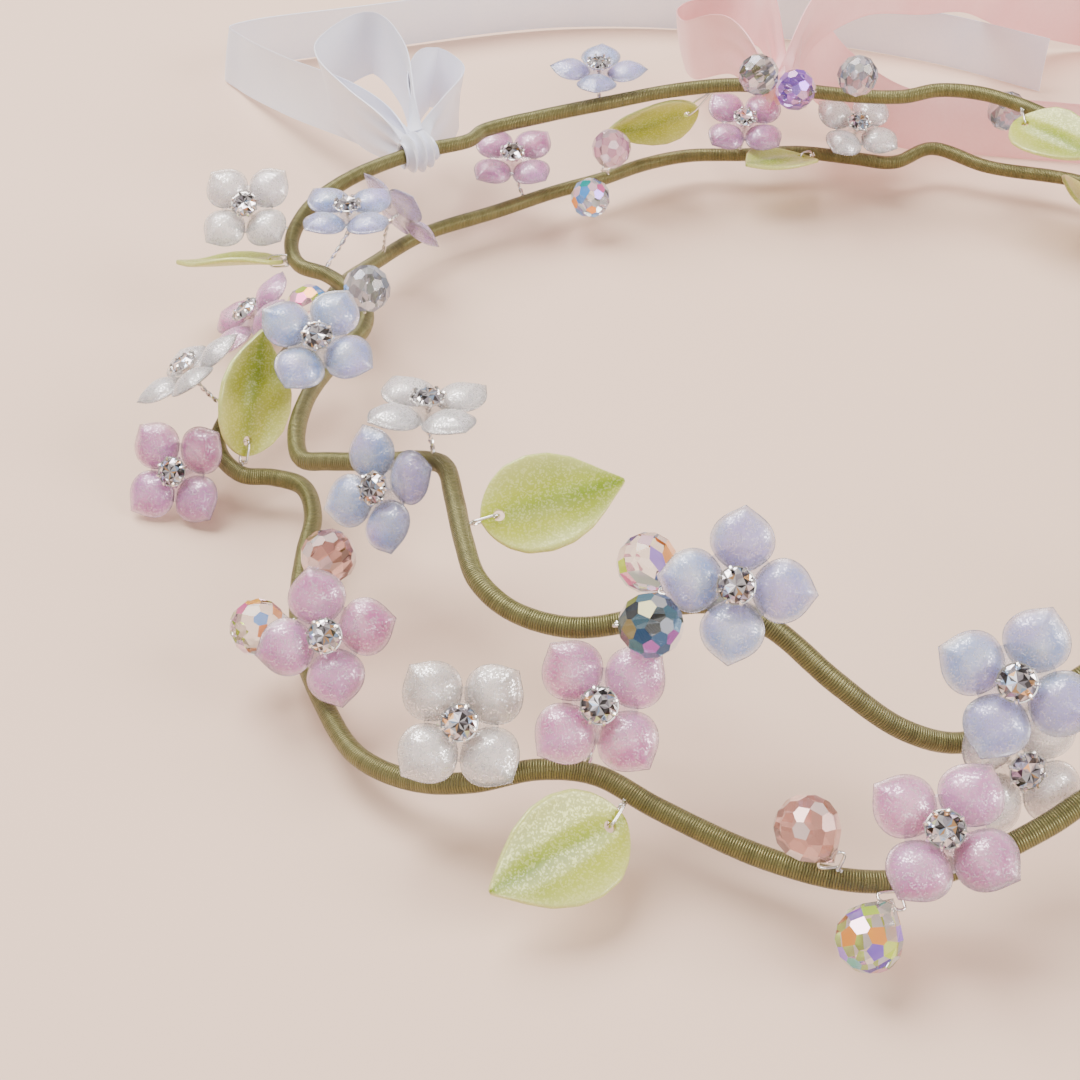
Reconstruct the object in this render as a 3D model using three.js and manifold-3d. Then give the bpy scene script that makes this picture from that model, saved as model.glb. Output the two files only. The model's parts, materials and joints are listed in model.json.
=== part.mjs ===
// Flower crown: two wavy vines of thread-wrapped wire, interlaced into a ring. They carry resin
// blossoms, resin leaves and glass drops on silver wires, and two satin ribbons tied on at the back.
// Millimetres, +Z up, front of the crown towards -Y. The origin is the centre of the head opening,
// on the surface that the crown lies on.
import * as THREE from 'three';
import { mergeVertices } from 'three/addons/utils/BufferGeometryUtils.js';
import Module from 'manifold-3d';

const wasm = await Module();
wasm.setup();

// ---- Driving dimensions -------------------------------------------------------------------

const GAP = 0.3; // clearance between pieces that touch on the real crown

// Vines: a core wire inside a tube of wound thread.
const WIRE_RADIUS = 0.6;
const THREAD_INNER_RADIUS = WIRE_RADIUS + GAP;
const THREAD_OUTER_RADIUS = 1.3;
const VINE_SIDES = 6;

// Binding that closes each vine: a sleeve of thread over the two ends of the wire.
const BINDING_LENGTH = 9;
const BINDING_INNER_RADIUS = THREAD_OUTER_RADIUS + 1.5 * GAP;
const BINDING_WALL = 0.45;
const BINDING_SIDES = 8;

// Silver wires: stems that hold the blossoms, and loops that hold the leaves and the drops.
const STEM_RADIUS = 0.35;
const STEM_BEND = 2.6; // how far behind a blossom its stem turns to run straight through the hole
const CHANNEL_RADIUS = STEM_RADIUS + 1.5 * GAP; // opening in the thread for a silver wire
const LOOP_RADIUS = 0.25;
const NECK_LENGTH = 2; // from the vine's centre line to where a loop opens
const SILVER_SIDES = 4;

// Blossoms: four petals round a hole, dished so that the tips rise.
const PETALS = 4;
const PETAL_TIP_RADIUS = 9.2;
const BLOSSOM_THICKNESS = 1.5;
const BLOSSOM_HOLE_RADIUS = 0.95;
const BLOSSOM_DISH = 1.2;
// One petal's outline, as [angle from its tip in degrees, part of the tip's radius].
const PETAL_OUTLINE = [[-45, 0.36], [-32, 0.72], [-16, 0.88], [0, 1], [16, 0.88], [32, 0.72]];

// Claw cup that holds the rhinestone at the middle of a blossom.
const CUP_FOOT_RADIUS = 1.1;
const CUP_RIM_RADIUS = 2.3;
const CUP_HEIGHT = 1.7;
const CUP_WALL = 0.35;
const CUP_SIDES = 6;

// Leaves: a flat outline from the rounded base to the pointed tip, bent along its middle.
const LEAF_LENGTH = 19;
const LEAF_HALF_WIDTH = 6.4;
const LEAF_THICKNESS = 0.9;
const LEAF_HOLE_INSET = 2.4;
const LEAF_HOLE_RADIUS = 0.75;
const LEAF_CUP = 1.3;
const LEAF_LOOP_CLEARANCE = LEAF_THICKNESS / 2 + LOOP_RADIUS + 1.6 * GAP;
// Half of the outline, as [part of the length, part of the half width].
const LEAF_OUTLINE = [[0.06, 0.5], [0.22, 0.9], [0.42, 1], [0.62, 0.86], [0.82, 0.48]];

// Drops: a faceted ball that narrows to a drilled tip.
const DROP_RADIUS = 3.8;
const DROP_HOLE_TO_BALL = 5;
const DROP_REACH = 4.1; // from the vine's centre line to the hole
const DROP_BAIL_HALF_WIDTH = 1.9;
const DROP_BAIL_STRAIGHT = 0.9; // how far its sides run straight before they close to the neck
const DROP_HOLE_RADIUS = 0.6;
const DROP_NECK_RADIUS = 1.25;
const DROP_TIP_RADIUS = 0.4;
const DROP_TIP_OVER_HOLE = 1.1;
const DROP_SIDES = 8;
// The profile from the bottom pole up, as [radius, height over the ball's middle].
const DROP_PROFILE = [
  [0, -DROP_RADIUS],
  [0.72 * DROP_RADIUS, -0.7 * DROP_RADIUS],
  [DROP_RADIUS, 0],
  [0.78 * DROP_RADIUS, 0.62 * DROP_RADIUS],
  [DROP_NECK_RADIUS, DROP_HOLE_TO_BALL - DROP_HOLE_RADIUS],
  [DROP_TIP_RADIUS, DROP_HOLE_TO_BALL + DROP_TIP_OVER_HOLE],
  [0, DROP_HOLE_TO_BALL + DROP_TIP_OVER_HOLE],
];

// Ribbons.
const RIBBON_WIDTH = 12;
const RIBBON_THICKNESS = 0.6;
const RIBBON_STEP = 12;
const KNOT_RADIUS = 4;
const KNOT_FACETS = [8, 5];

// ---- Layout -------------------------------------------------------------------------------

// Routes of the two vines, as [angle round the crown in degrees, radius, height].
const LOWER_ROUTE = [
  [0.4, 90, 12], [3, 90, 12], [8, 90, 12], [16, 86, 14], [26, 84, 13], [35, 88, 10], [44, 94, 7],
  [54, 97, 6], [64, 94, 6], [71, 93.5, 8], [75, 89.5, 6], [80, 89.5, 6], [87, 91, 6], [94, 90, 6],
  [101, 91, 6], [107, 89.5, 6], [114, 86.5, 6], [121, 86, 6], [130, 86, 6], [140, 89, 6],
  [150, 88.5, 7], [157, 87.5, 9], [169, 85.5, 11.5], [178, 88, 12], [182, 93, 10], [186, 96, 7],
  [190, 92.5, 6], [191, 88, 6], [193, 84, 6], [198, 83.5, 6], [203, 86.5, 6], [208, 90, 6],
  [213, 93.5, 5], [220, 97, 5], [226, 99.5, 5], [231, 98.5, 6], [235, 96, 8], [239, 91.5, 10],
  [243, 89, 10], [248, 89.5, 8.5], [256, 91.5, 7], [262, 93, 7], [267, 92, 7], [272, 90.5, 9.5],
  [276, 89, 12], [280, 87, 14], [286, 86, 14], [293, 88.5, 11], [300, 92, 8], [308, 93, 7],
  [316, 90, 7], [325, 87, 9], [334, 89, 11], [343, 91, 11.5], [352, 90, 12], [357, 90, 12],
  [359.6, 90, 12],
];
const UPPER_ROUTE = [
  [0.4, 83, 22], [3, 83, 22], [8, 83, 22], [17, 87, 21], [26, 92, 21], [35, 92, 22], [44, 88, 22],
  [54, 89, 20], [61, 88.5, 22], [66, 88, 23], [71, 86.5, 23], [75, 84, 22], [81, 82.5, 22],
  [89, 82, 23], [97, 82.5, 24], [105, 84.5, 23], [114, 85.5, 22], [122, 88, 21], [129, 91, 20],
  [132, 89.5, 20], [138, 92.5, 20], [146, 96.5, 19], [152, 98.5, 17], [157, 97, 15], [160, 93, 14],
  [161, 87, 14], [165, 78.5, 13.5], [170, 76, 13.5], [176, 77.5, 14], [187, 81.5, 16],
  [194, 84, 16], [198, 84, 16], [200, 81, 17], [204, 75, 19], [208.5, 70.5, 21.5], [212, 70, 23],
  [217, 72.5, 23], [223, 77, 23], [228, 81, 23], [232, 81.5, 22], [237, 80, 22], [241, 77, 23],
  [245, 74, 25.5], [249, 72.5, 26], [254, 73.5, 25], [260, 76.5, 21], [266, 78, 16],
  [271, 78, 14], [276, 77.5, 16.5], [281, 76, 21], [287, 75.5, 24], [294, 76, 23], [302, 79.5, 20],
  [310, 82, 19], [318, 80, 21], [327, 76.5, 24], [336, 77.5, 24], [345, 81.5, 22], [353, 83, 22],
  [357, 83, 22], [359.6, 83, 22],
];

// Blossoms, as [name, vine, centre, [azimuth, elevation] that it faces, turn of its petals, colour].
const BLOSSOMS = [
  ['clear_left_back', 'upper', [-96.5, 40, 20], [262, 52], 50, 'clear'],
  ['blue_left_back', 'upper', [-79, 36, 21], [275, 86], 40, 'blue'],
  ['violet_left_back', 'lower', [-72, 48.5, 14.5], [45, 25], 45, 'violet'],
  ['mauve_back', 'lower', [-52, 72, 13.5], [268, 72], 45, 'mauve'],
  ['blue_left', 'upper', [-79, -9, 24.5], [285, 58], 50, 'blue'],
  ['pink_left', 'lower', [-91.5, 9.5, 17], [185, 56], 45, 'pink'],
  ['clear_left', 'lower', [-99, -4.5, 16], [170, 60], 30, 'clear'],
  ['mauve_left', 'lower', [-100.5, -15.6, 6], [252, 38], 50, 'mauve'],
  ['clear_left_front', 'upper', [-61.5, -33, 29], [80, 84], 45, 'clear'],
  ['blue_left_front', 'upper', [-68, -35.8, 18.3], [232, 36], 40, 'blue'],
  ['pink_left_front', 'lower', [-73.5, -58.5, 12.5], [268, 46], 16, 'pink'],
  ['pearl_front', 'lower', [-56, -75.5, 14.5], [264, 50], 46, 'pearl'],
  ['pink_front', 'lower', [-40, -76, 18], [262, 46], 44, 'pink'],
  ['blue_front', 'upper', [-24.6, -69.1, 30.2], [255, 40], 3, 'blue'],
  ['blue_right_front', 'upper', [5, -80.5, 26], [250, 44], 78, 'blue'],
  ['pink_right_front', 'lower', [-3, -91.5, 14], [245, 62], 74, 'pink'],
  ['clear_right_front', 'upper', [7, -82, 14.5], [285, 30], 45, 'clear'],
  ['pearl_right_front', 'upper', [22, -75, 29], [295, 50], 30, 'pearl'],
  ['blue_back', 'upper', [-36, 79, 27.5], [262, 84], 2, 'blue'],
  ['mauve_right_back', 'lower', [-7, 87.5, 13.5], [268, 66], 44, 'mauve'],
  ['clear_right_back', 'lower', [15, 87.5, 12.5], [280, 66], 44, 'clear'],
  ['blue_right', 'upper', [57, -56, 27], [310, 50], 45, 'blue'],
  ['pink_right', 'lower', [74, -64, 5.95], [318, 42], 30, 'pink'],
  ['pearl_right', 'lower', [94, -14, 17], [350, 46], 40, 'pearl'],
  ['mauve_right', 'lower', [80, 52, 14], [20, 48], 45, 'mauve'],
];

// Leaves, as [name, vine, angle of its root round the crown, reach from the vine's centre line to
// the hole, way that the loop leaves the vine, direction of the tip, direction of the face].
const LEAVES = [
  ['left', 'lower', 190, 5, [76, 52], [76, 52], [320, 25]],
  ['left_front', 'upper', 221, 5, [15, 8], [15, 8], [268, 50]],
  ['front', 'lower', 246, 5, [242, 0], [216, 2], [268, 50]],
  ['left_back', 'upper', 159.5, 5, [172, -6], [172, -6], [100, 66]],
  ['back', 'upper', 99, 9, [190, -58], [180, -16], [270, -30]],
  ['right_back', 'lower', 84.5, 6, [222, 35], [222, 12], [90, 84]],
  ['right_back_upper', 'upper', 61, 6, [270, -20], [305, 0], [268, 60]],
  ['right_back_lower', 'lower', 52, 5, [250, 14], [250, 14], [272, 52]],
  ['right_front', 'lower', 298, 5, [285, -10], [280, -6], [260, 66]],
];

// Drops, as [name, vine, angle of its root round the crown, direction in which it hangs, finish].
const DROPS = [
  ['champagne_left', 'lower', 207, [327, 52], 'champagne'],
  ['clear_left', 'lower', 211, [238, 31], 'aurora'],
  ['clear_front', 'upper', 246, [117, -3], 'aurora'],
  ['ink_front', 'upper', 240.2, [303, 36], 'ink'],
  ['champagne_front', 'lower', 262, [169, 56], 'champagne'],
  ['clear_right_front', 'lower', 266, [236, -5], 'aurora'],
  ['clear_left_back', 'upper', 169.4, [190, 24], 'aurora'],
  ['smoke_left_back', 'upper', 167.3, [287, 55], 'smoke'],
  ['clear_back', 'lower', 117.5, [285, 12], 'aurora'],
  ['mauve_back', 'lower', 113, [277, 62], 'mauve'],
  ['violet_back', 'upper', 86.5, [235, 22], 'violet'],
  ['smoke_back', 'upper', 96, [283, 35], 'smoke'],
  ['smoke_right_back', 'upper', 81.5, [262, 46], 'smoke'],
  ['grey_right_back', 'upper', 63.5, [60, -35], 'smoke'],
  ['clear_right', 'upper', 341, [350, -30], 'aurora'],
];

// Ribbons: the knot's place on its vine, and each stretch as [x, y, height of its lower edge].
const RIBBONS = [
  {
    name: 'pale_blue_ribbon',
    vine: 'upper',
    knot: [-69, 62, 20],
    colour: 'pale_blue_satin',
    stretches: [
      [[-70, 64, 14], [-84, 88, 10], [-100, 114, 4], [-113, 134, 0.6],
        [-117, 141, 0.3], [-112, 146, 0.3], [-84, 156, 0.3], [-40, 168, 0.3], [0, 166, 0.3], [40, 150, 0.3],
        [64, 133, 0.3]],
      [[-71, 63, 14], [-82, 78, 14], [-89, 95, 15], [-81, 102, 18], [-73, 88, 18], [-69, 65, 15]],
      [[-68, 64, 14], [-65, 78, 12], [-63, 94, 11], [-68, 99, 12], [-71, 84, 14], [-70, 65, 14]],
    ],
  },
  {
    name: 'pink_ribbon',
    vine: 'upper',
    knot: [-1.4, 83.4, 23.3],
    colour: 'pink_satin',
    stretches: [
      [[-3, 83, 17], [-9, 98, 19], [-16, 118, 10], [-15, 138, 6], [-5, 134, 10], [-2, 110, 20],
        [-1.5, 84, 18]],
      [[-0.5, 83.5, 17.6], [6, 96, 25], [18, 108, 27], [34, 122, 22], [48, 138, 16], [64, 152, 6],
        [84, 156, 0.5], [104, 150, 0.3]],
      [[0.6, 82.6, 16.6], [5, 98, 20], [13, 106, 9], [27, 104, 1.5], [44, 102, 0.4], [64, 98, 0.4],
        [84, 94, 0.4], [100, 98, 0.4]],
    ],
  },
];

// Colours and finishes.
const FINISHES = {
  silver: { color: 0xd8d6d2, roughness: 0.25, metalness: 1 },
  thread: { color: 0x8f8a55, roughness: 0.55, metalness: 0 },
  clear: { color: 0xe9e6ea, roughness: 0.3, metalness: 0 },
  pearl: { color: 0xe4e1e0, roughness: 0.4, metalness: 0.1 },
  blue: { color: 0xb9c8e2, roughness: 0.35, metalness: 0 },
  pink: { color: 0xe3bfd2, roughness: 0.35, metalness: 0 },
  mauve: { color: 0xcfa9c4, roughness: 0.35, metalness: 0 },
  violet: { color: 0xc3a6dc, roughness: 0.3, metalness: 0 },
  leaf: { color: 0xbccb72, roughness: 0.35, metalness: 0 },
  champagne: { color: 0xd9a993, roughness: 0.08, metalness: 0 },
  aurora: { color: 0xdfe6ea, roughness: 0.06, metalness: 0.1 },
  ink: { color: 0x39506e, roughness: 0.08, metalness: 0.3 },
  smoke: { color: 0x8f94a8, roughness: 0.08, metalness: 0.1 },
  pale_blue_satin: { color: 0xdfe3f2, roughness: 0.4, metalness: 0 },
  pink_satin: { color: 0xf3c1c6, roughness: 0.4, metalness: 0 },
};

// ---- Solids -------------------------------------------------------------------------------

function solid(geometry) {
  const positions = geometry.clone();
  for (const name of Object.keys(positions.attributes)) {
    if (name !== 'position') {
      positions.deleteAttribute(name);
    }
  }
  const merged = mergeVertices(positions, 1e-4);
  const mesh = new wasm.Mesh({
    numProp: 3,
    vertProperties: new Float32Array(merged.attributes.position.array),
    triVerts: new Uint32Array(merged.index.array),
  });
  return new wasm.Manifold(mesh);
}

function geometryOf(manifold) {
  const mesh = manifold.getMesh();
  const geometry = new THREE.BufferGeometry();
  geometry.setAttribute('position', new THREE.BufferAttribute(mesh.vertProperties, 3));
  geometry.setIndex(new THREE.BufferAttribute(mesh.triVerts, 1));
  return geometry;
}

function piece(name, geometry, finish) {
  const flat = geometry.index ? geometry.toNonIndexed() : geometry;
  flat.computeVertexNormals();
  const material = new THREE.MeshStandardMaterial({ ...FINISHES[finish], flatShading: true });
  const mesh = new THREE.Mesh(flat, material);
  mesh.name = name;
  return mesh;
}

function radians(degrees) {
  return THREE.MathUtils.degToRad(degrees);
}

function direction([azimuth, elevation]) {
  const level = Math.cos(radians(elevation));
  return new THREE.Vector3(
    level * Math.cos(radians(azimuth)),
    level * Math.sin(radians(azimuth)),
    Math.sin(radians(elevation)),
  );
}

function point(coordinates) {
  return new THREE.Vector3(...coordinates);
}

// A regular polygon's corners, for the sections of wires and tubes and for holes.
function polygon(radius, sides) {
  return Array.from({ length: sides }, (_, i) => {
    const angle = (2 * Math.PI * i) / sides;
    return new THREE.Vector2(radius * Math.cos(angle), radius * Math.sin(angle));
  });
}

function section(radius, sides, innerRadius = 0) {
  const shape = new THREE.Shape(polygon(radius, sides));
  if (innerRadius > 0) {
    shape.holes.push(new THREE.Path(polygon(innerRadius, sides)));
  }
  return shape;
}

// A curve whose steps fall evenly between its waypoints, so they are closer at its tight bends.
class Route extends THREE.CatmullRomCurve3 {
  getUtoTmapping(u) {
    return u;
  }
}

function sweep(route, steps, shape) {
  return new THREE.ExtrudeGeometry(shape, { steps, extrudePath: route, bevelEnabled: false });
}

// ---- Vines --------------------------------------------------------------------------------

function vineRoute(waypoints) {
  const points = waypoints.map(([angle, radius, height]) => new THREE.Vector3(
    radius * Math.cos(radians(angle)),
    radius * Math.sin(radians(angle)),
    height,
  ));
  return new Route(points, false, 'centripetal');
}

function vine(waypoints) {
  const route = vineRoute(waypoints);
  const steps = waypoints.length - 1;
  const tube = (radius, innerRadius) => solid(sweep(route, steps, section(radius, VINE_SIDES, innerRadius)));
  return {
    points: route.getPoints(steps),
    wire: tube(WIRE_RADIUS),
    thread: tube(THREAD_OUTER_RADIUS, THREAD_INNER_RADIUS),
    room: tube(THREAD_OUTER_RADIUS + GAP),
  };
}

const vines = { lower: vine(LOWER_ROUTE), upper: vine(UPPER_ROUTE) };

// The place on a vine's centre line that is nearest to a point.
function nearestOnVine(name, target) {
  const segment = new THREE.Line3();
  const found = new THREE.Vector3();
  const best = new THREE.Vector3();
  const points = vines[name].points;
  for (let i = 1; i < points.length; i += 1) {
    segment.set(points[i - 1], points[i]).closestPointToPoint(target, true, found);
    if (i === 1 || found.distanceTo(target) < best.distanceTo(target)) {
      best.copy(found);
    }
  }
  return best;
}

// The place on a vine's centre line at an angle round the crown.
function onVine(name, angle) {
  const points = vines[name].points;
  const angleOf = (p) => (THREE.MathUtils.radToDeg(Math.atan2(p.y, p.x)) + 360) % 360;
  const next = points.findIndex((p) => angleOf(p) > angle);
  const from = points[next - 1];
  const part = (angle - angleOf(from)) / (angleOf(points[next]) - angleOf(from));
  return {
    place: from.clone().lerp(points[next], part),
    tangent: points[next].clone().sub(from).normalize(),
  };
}

// A curve that runs straight from each point to the next.
class Bent extends Route {
  getPoint(u) {
    const along = u * (this.points.length - 1);
    const from = Math.min(Math.floor(along), this.points.length - 2);
    return this.points[from].clone().lerp(this.points[from + 1], along - from);
  }
}

// Twists a silver wire on to the vine's core wire and opens the thread where it comes out.
function addSilverWire(name, points, radius) {
  const own = vines[name];
  const shape = section(radius, SILVER_SIDES);
  own.wire = own.wire.add(solid(sweep(new Bent(points), points.length - 1, shape)));
  const channel = section(CHANNEL_RADIUS, SILVER_SIDES);
  own.thread = own.thread.subtract(solid(sweep(new THREE.LineCurve3(points[0], points[1]), 1, channel)));
}

function binding(route, name) {
  const outer = BINDING_INNER_RADIUS + BINDING_WALL;
  const [, radius, height] = route[0];
  const half = BINDING_LENGTH / 2;
  const path = new THREE.LineCurve3(
    new THREE.Vector3(radius, -half, height),
    new THREE.Vector3(radius, half, height),
  );
  return piece(name, sweep(path, 1, section(outer, BINDING_SIDES, BINDING_INNER_RADIUS)), 'thread');
}

// ---- Blossoms -----------------------------------------------------------------------------

function blossomGeometry() {
  const outline = [];
  for (let petal = 0; petal < PETALS; petal += 1) {
    for (const [angle, part] of PETAL_OUTLINE) {
      const turn = radians(angle + (360 / PETALS) * petal);
      const radius = part * PETAL_TIP_RADIUS;
      outline.push(new THREE.Vector2(radius * Math.cos(turn), radius * Math.sin(turn)));
    }
  }
  const shape = new THREE.Shape(outline);
  shape.holes.push(new THREE.Path(polygon(BLOSSOM_HOLE_RADIUS, VINE_SIDES)));
  const geometry = new THREE.ExtrudeGeometry(shape, { depth: BLOSSOM_THICKNESS, bevelEnabled: false });
  geometry.translate(0, 0, -BLOSSOM_THICKNESS / 2);
  const position = geometry.attributes.position;
  for (let i = 0; i < position.count; i += 1) {
    const out = Math.hypot(position.getX(i), position.getY(i)) / PETAL_TIP_RADIUS;
    position.setZ(i, position.getZ(i) + BLOSSOM_DISH * out * out);
  }
  return geometry;
}

function cupGeometry() {
  const profile = [
    [0, 0], [CUP_FOOT_RADIUS, 0], [CUP_RIM_RADIUS, CUP_HEIGHT], [CUP_RIM_RADIUS - CUP_WALL, CUP_HEIGHT],
    [0, CUP_WALL],
  ];
  const lathe = new THREE.LatheGeometry(profile.map((p) => new THREE.Vector2(...p)), CUP_SIDES);
  return lathe.rotateX(Math.PI / 2);
}

// A turned frame whose Z is the way that a piece faces, with its Y upwards.
function facingFrame(centre, [azimuth, elevation]) {
  const z = direction([azimuth, elevation]);
  const x = direction([azimuth + 90, 0]);
  const frame = new THREE.Matrix4().makeBasis(x, new THREE.Vector3().crossVectors(z, x), z);
  return frame.setPosition(point(centre));
}

function blossom([name, vineName, centre, faces, turn, finish]) {
  const frame = facingFrame(centre, faces);
  const mesh = piece(`${name}_blossom`, blossomGeometry().rotateZ(radians(turn)), finish);
  mesh.applyMatrix4(frame);
  const onAxis = (height) => new THREE.Vector3(0, 0, height).applyMatrix4(frame);
  const cupFoot = BLOSSOM_THICKNESS / 2 + GAP;
  const start = nearestOnVine(vineName, onAxis(-STEM_BEND));
  const back = onAxis(-BLOSSOM_THICKNESS / 2);
  addSilverWire(vineName, [start, onAxis(-STEM_BEND), back, onAxis(cupFoot + CUP_WALL)], STEM_RADIUS);
  const cup = solid(cupGeometry().translate(0, 0, cupFoot).applyMatrix4(frame));
  vines[vineName].wire = vines[vineName].wire.add(cup);
  return mesh;
}

// ---- Leaves -------------------------------------------------------------------------------

function leafGeometry() {
  const side = (sign) => LEAF_OUTLINE.map(([along, across]) => new THREE.Vector2(
    along * LEAF_LENGTH,
    sign * across * LEAF_HALF_WIDTH,
  ));
  const outline = [
    new THREE.Vector2(0, 0), ...side(-1), new THREE.Vector2(LEAF_LENGTH, 0), ...side(1).reverse(),
  ];
  const shape = new THREE.Shape(outline);
  const hole = polygon(LEAF_HOLE_RADIUS, VINE_SIDES).map((p) => p.setX(p.x + LEAF_HOLE_INSET));
  shape.holes.push(new THREE.Path(hole));
  const geometry = new THREE.ExtrudeGeometry(shape, { depth: LEAF_THICKNESS, bevelEnabled: false });
  geometry.translate(-LEAF_HOLE_INSET, 0, -LEAF_THICKNESS / 2);
  const position = geometry.attributes.position;
  for (let i = 0; i < position.count; i += 1) {
    const across = position.getY(i) / LEAF_HALF_WIDTH;
    position.setZ(i, position.getZ(i) + LEAF_CUP * across * across);
  }
  return geometry;
}

// A wire loop that leaves the vine as one twisted neck, opens and passes through a hole. The
// hole's axis is `pin`. The wire stands `clear` to each side of the piece, which covers the last
// stretch of the way to the hole for `cover`.
function addLoop(vineName, start, hole, pin, clear, cover) {
  const way = new THREE.Vector3().subVectors(start, hole).normalize();
  const neck = start.clone().addScaledVector(way, -NECK_LENGTH);
  const beside = (sign, back) => hole.clone().addScaledVector(pin, sign * clear)
    .addScaledVector(way, back);
  addSilverWire(vineName, [start, neck], STEM_RADIUS);
  const loop = [neck, beside(1, cover), beside(1, 0), beside(-1, 0), beside(-1, cover), neck];
  const ring = solid(sweep(new Bent(loop), loop.length - 1, section(LOOP_RADIUS, SILVER_SIDES)));
  vines[vineName].wire = vines[vineName].wire.add(ring);
}

function leaf([name, vineName, angle, reach, leaves, tip, faces]) {
  const start = onVine(vineName, angle).place;
  const x = direction(tip);
  const y = new THREE.Vector3().crossVectors(direction(faces), x).normalize();
  const z = new THREE.Vector3().crossVectors(x, y);
  const way = direction(leaves).projectOnPlane(z).normalize();
  const hole = start.clone().addScaledVector(way, reach);
  const mesh = piece(`${name}_leaf`, leafGeometry(), 'leaf');
  mesh.applyMatrix4(new THREE.Matrix4().makeBasis(x, y, z).setPosition(hole));
  addLoop(vineName, start, hole, z, LEAF_LOOP_CLEARANCE, LEAF_HOLE_INSET + GAP);
  return mesh;
}

// ---- Drops --------------------------------------------------------------------------------

function dropGeometry() {
  const lathe = new THREE.LatheGeometry(DROP_PROFILE.map((p) => new THREE.Vector2(...p)), DROP_SIDES);
  const hole = new THREE.CylinderGeometry(
    DROP_HOLE_RADIUS, DROP_HOLE_RADIUS, 2 * DROP_RADIUS, VINE_SIDES,
  );
  hole.rotateZ(Math.PI / 2).translate(0, DROP_HOLE_TO_BALL, 0);
  const drilled = geometryOf(solid(lathe).subtract(solid(hole)));
  return drilled.translate(0, -DROP_HOLE_TO_BALL, 0);
}

function drop([name, vineName, angle, hangs, finish]) {
  const { place: start, tangent } = onVine(vineName, angle);
  const y = direction(hangs).negate();
  const z = new THREE.Vector3().crossVectors(tangent, y).normalize();
  const x = new THREE.Vector3().crossVectors(y, z);
  const hole = start.clone().addScaledVector(y, -DROP_REACH);
  const mesh = piece(`${name}_drop`, dropGeometry(), finish);
  mesh.applyMatrix4(new THREE.Matrix4().makeBasis(x, y, z).setPosition(hole));
  addLoop(vineName, start, hole, x, DROP_BAIL_HALF_WIDTH, DROP_BAIL_STRAIGHT);
  return mesh;
}

// ---- Ribbons ------------------------------------------------------------------------------

// A stretch of ribbon that stands on its edge along a curve.
function stretch(waypoints) {
  const curve = new THREE.CatmullRomCurve3(waypoints.map(point), false, 'centripetal');
  const steps = Math.max(3, Math.round(curve.getLength() / RIBBON_STEP));
  const box = new THREE.BoxGeometry(1, RIBBON_THICKNESS, RIBBON_WIDTH, steps, 1, 1);
  const position = box.attributes.position;
  const across = new THREE.Vector3();
  for (let i = 0; i < position.count; i += 1) {
    const along = THREE.MathUtils.clamp(position.getX(i) + 0.5, 0, 1);
    const tangent = curve.getTangentAt(along);
    across.set(-tangent.y, tangent.x, 0).normalize().multiplyScalar(position.getY(i));
    const place = curve.getPointAt(along).add(across);
    position.setXYZ(i, place.x, place.y, place.z + position.getZ(i) + RIBBON_WIDTH / 2);
  }
  return solid(box);
}

function ribbon({ name, vine: vineName, knot, colour, stretches }) {
  const ball = new THREE.SphereGeometry(KNOT_RADIUS, ...KNOT_FACETS).translate(...knot);
  const body = stretches.reduce((whole, route) => whole.add(stretch(route)), solid(ball));
  return piece(name, geometryOf(body.subtract(vines[vineName].room)), colour);
}

// ---- Assembly -----------------------------------------------------------------------------

const crown = new THREE.Group();
for (const row of BLOSSOMS) {
  crown.add(blossom(row));
}
for (const row of LEAVES) {
  crown.add(leaf(row));
}
for (const row of DROPS) {
  crown.add(drop(row));
}
for (const row of RIBBONS) {
  crown.add(ribbon(row));
}
crown.add(
  piece('lower_vine_wire', geometryOf(vines.lower.wire), 'silver'),
  piece('lower_vine_thread', geometryOf(vines.lower.thread), 'thread'),
  piece('upper_vine_wire', geometryOf(vines.upper.wire), 'silver'),
  piece('upper_vine_thread', geometryOf(vines.upper.thread), 'thread'),
  binding(LOWER_ROUTE, 'lower_vine_binding'),
  binding(UPPER_ROUTE, 'upper_vine_binding'),
);

export default crown;
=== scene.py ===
"""Flower crown: wound vines, cast resin blossoms and leaves, cut-glass drops and satin ribbons.

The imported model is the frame. Every ornament takes its place from its own node or joint, and the
vines and the ribbons follow the same routes as the model. Lengths are in millimetres times MM.
"""
import json
import math
import random

import bmesh
import bpy
import numpy as np
from mathutils import Matrix, Vector


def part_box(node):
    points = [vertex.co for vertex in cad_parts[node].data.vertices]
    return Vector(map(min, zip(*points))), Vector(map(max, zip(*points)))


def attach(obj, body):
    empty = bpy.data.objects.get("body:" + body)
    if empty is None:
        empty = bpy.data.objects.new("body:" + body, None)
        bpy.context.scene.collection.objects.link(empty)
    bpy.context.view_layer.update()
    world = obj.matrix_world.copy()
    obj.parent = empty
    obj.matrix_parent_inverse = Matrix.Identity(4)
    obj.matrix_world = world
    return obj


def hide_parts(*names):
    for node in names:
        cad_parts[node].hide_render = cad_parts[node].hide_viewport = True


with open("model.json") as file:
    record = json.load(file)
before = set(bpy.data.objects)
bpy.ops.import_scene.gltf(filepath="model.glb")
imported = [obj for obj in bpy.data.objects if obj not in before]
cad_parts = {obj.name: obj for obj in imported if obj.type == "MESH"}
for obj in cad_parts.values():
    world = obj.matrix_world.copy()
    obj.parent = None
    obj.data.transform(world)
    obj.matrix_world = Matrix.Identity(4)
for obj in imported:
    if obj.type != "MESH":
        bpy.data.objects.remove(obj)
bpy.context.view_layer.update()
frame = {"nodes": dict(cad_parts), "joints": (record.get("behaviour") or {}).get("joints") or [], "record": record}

MM = 0.001
Z_AXIS = Vector((0, 0, 1))

# ---- Layout, as in the model ----

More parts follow.
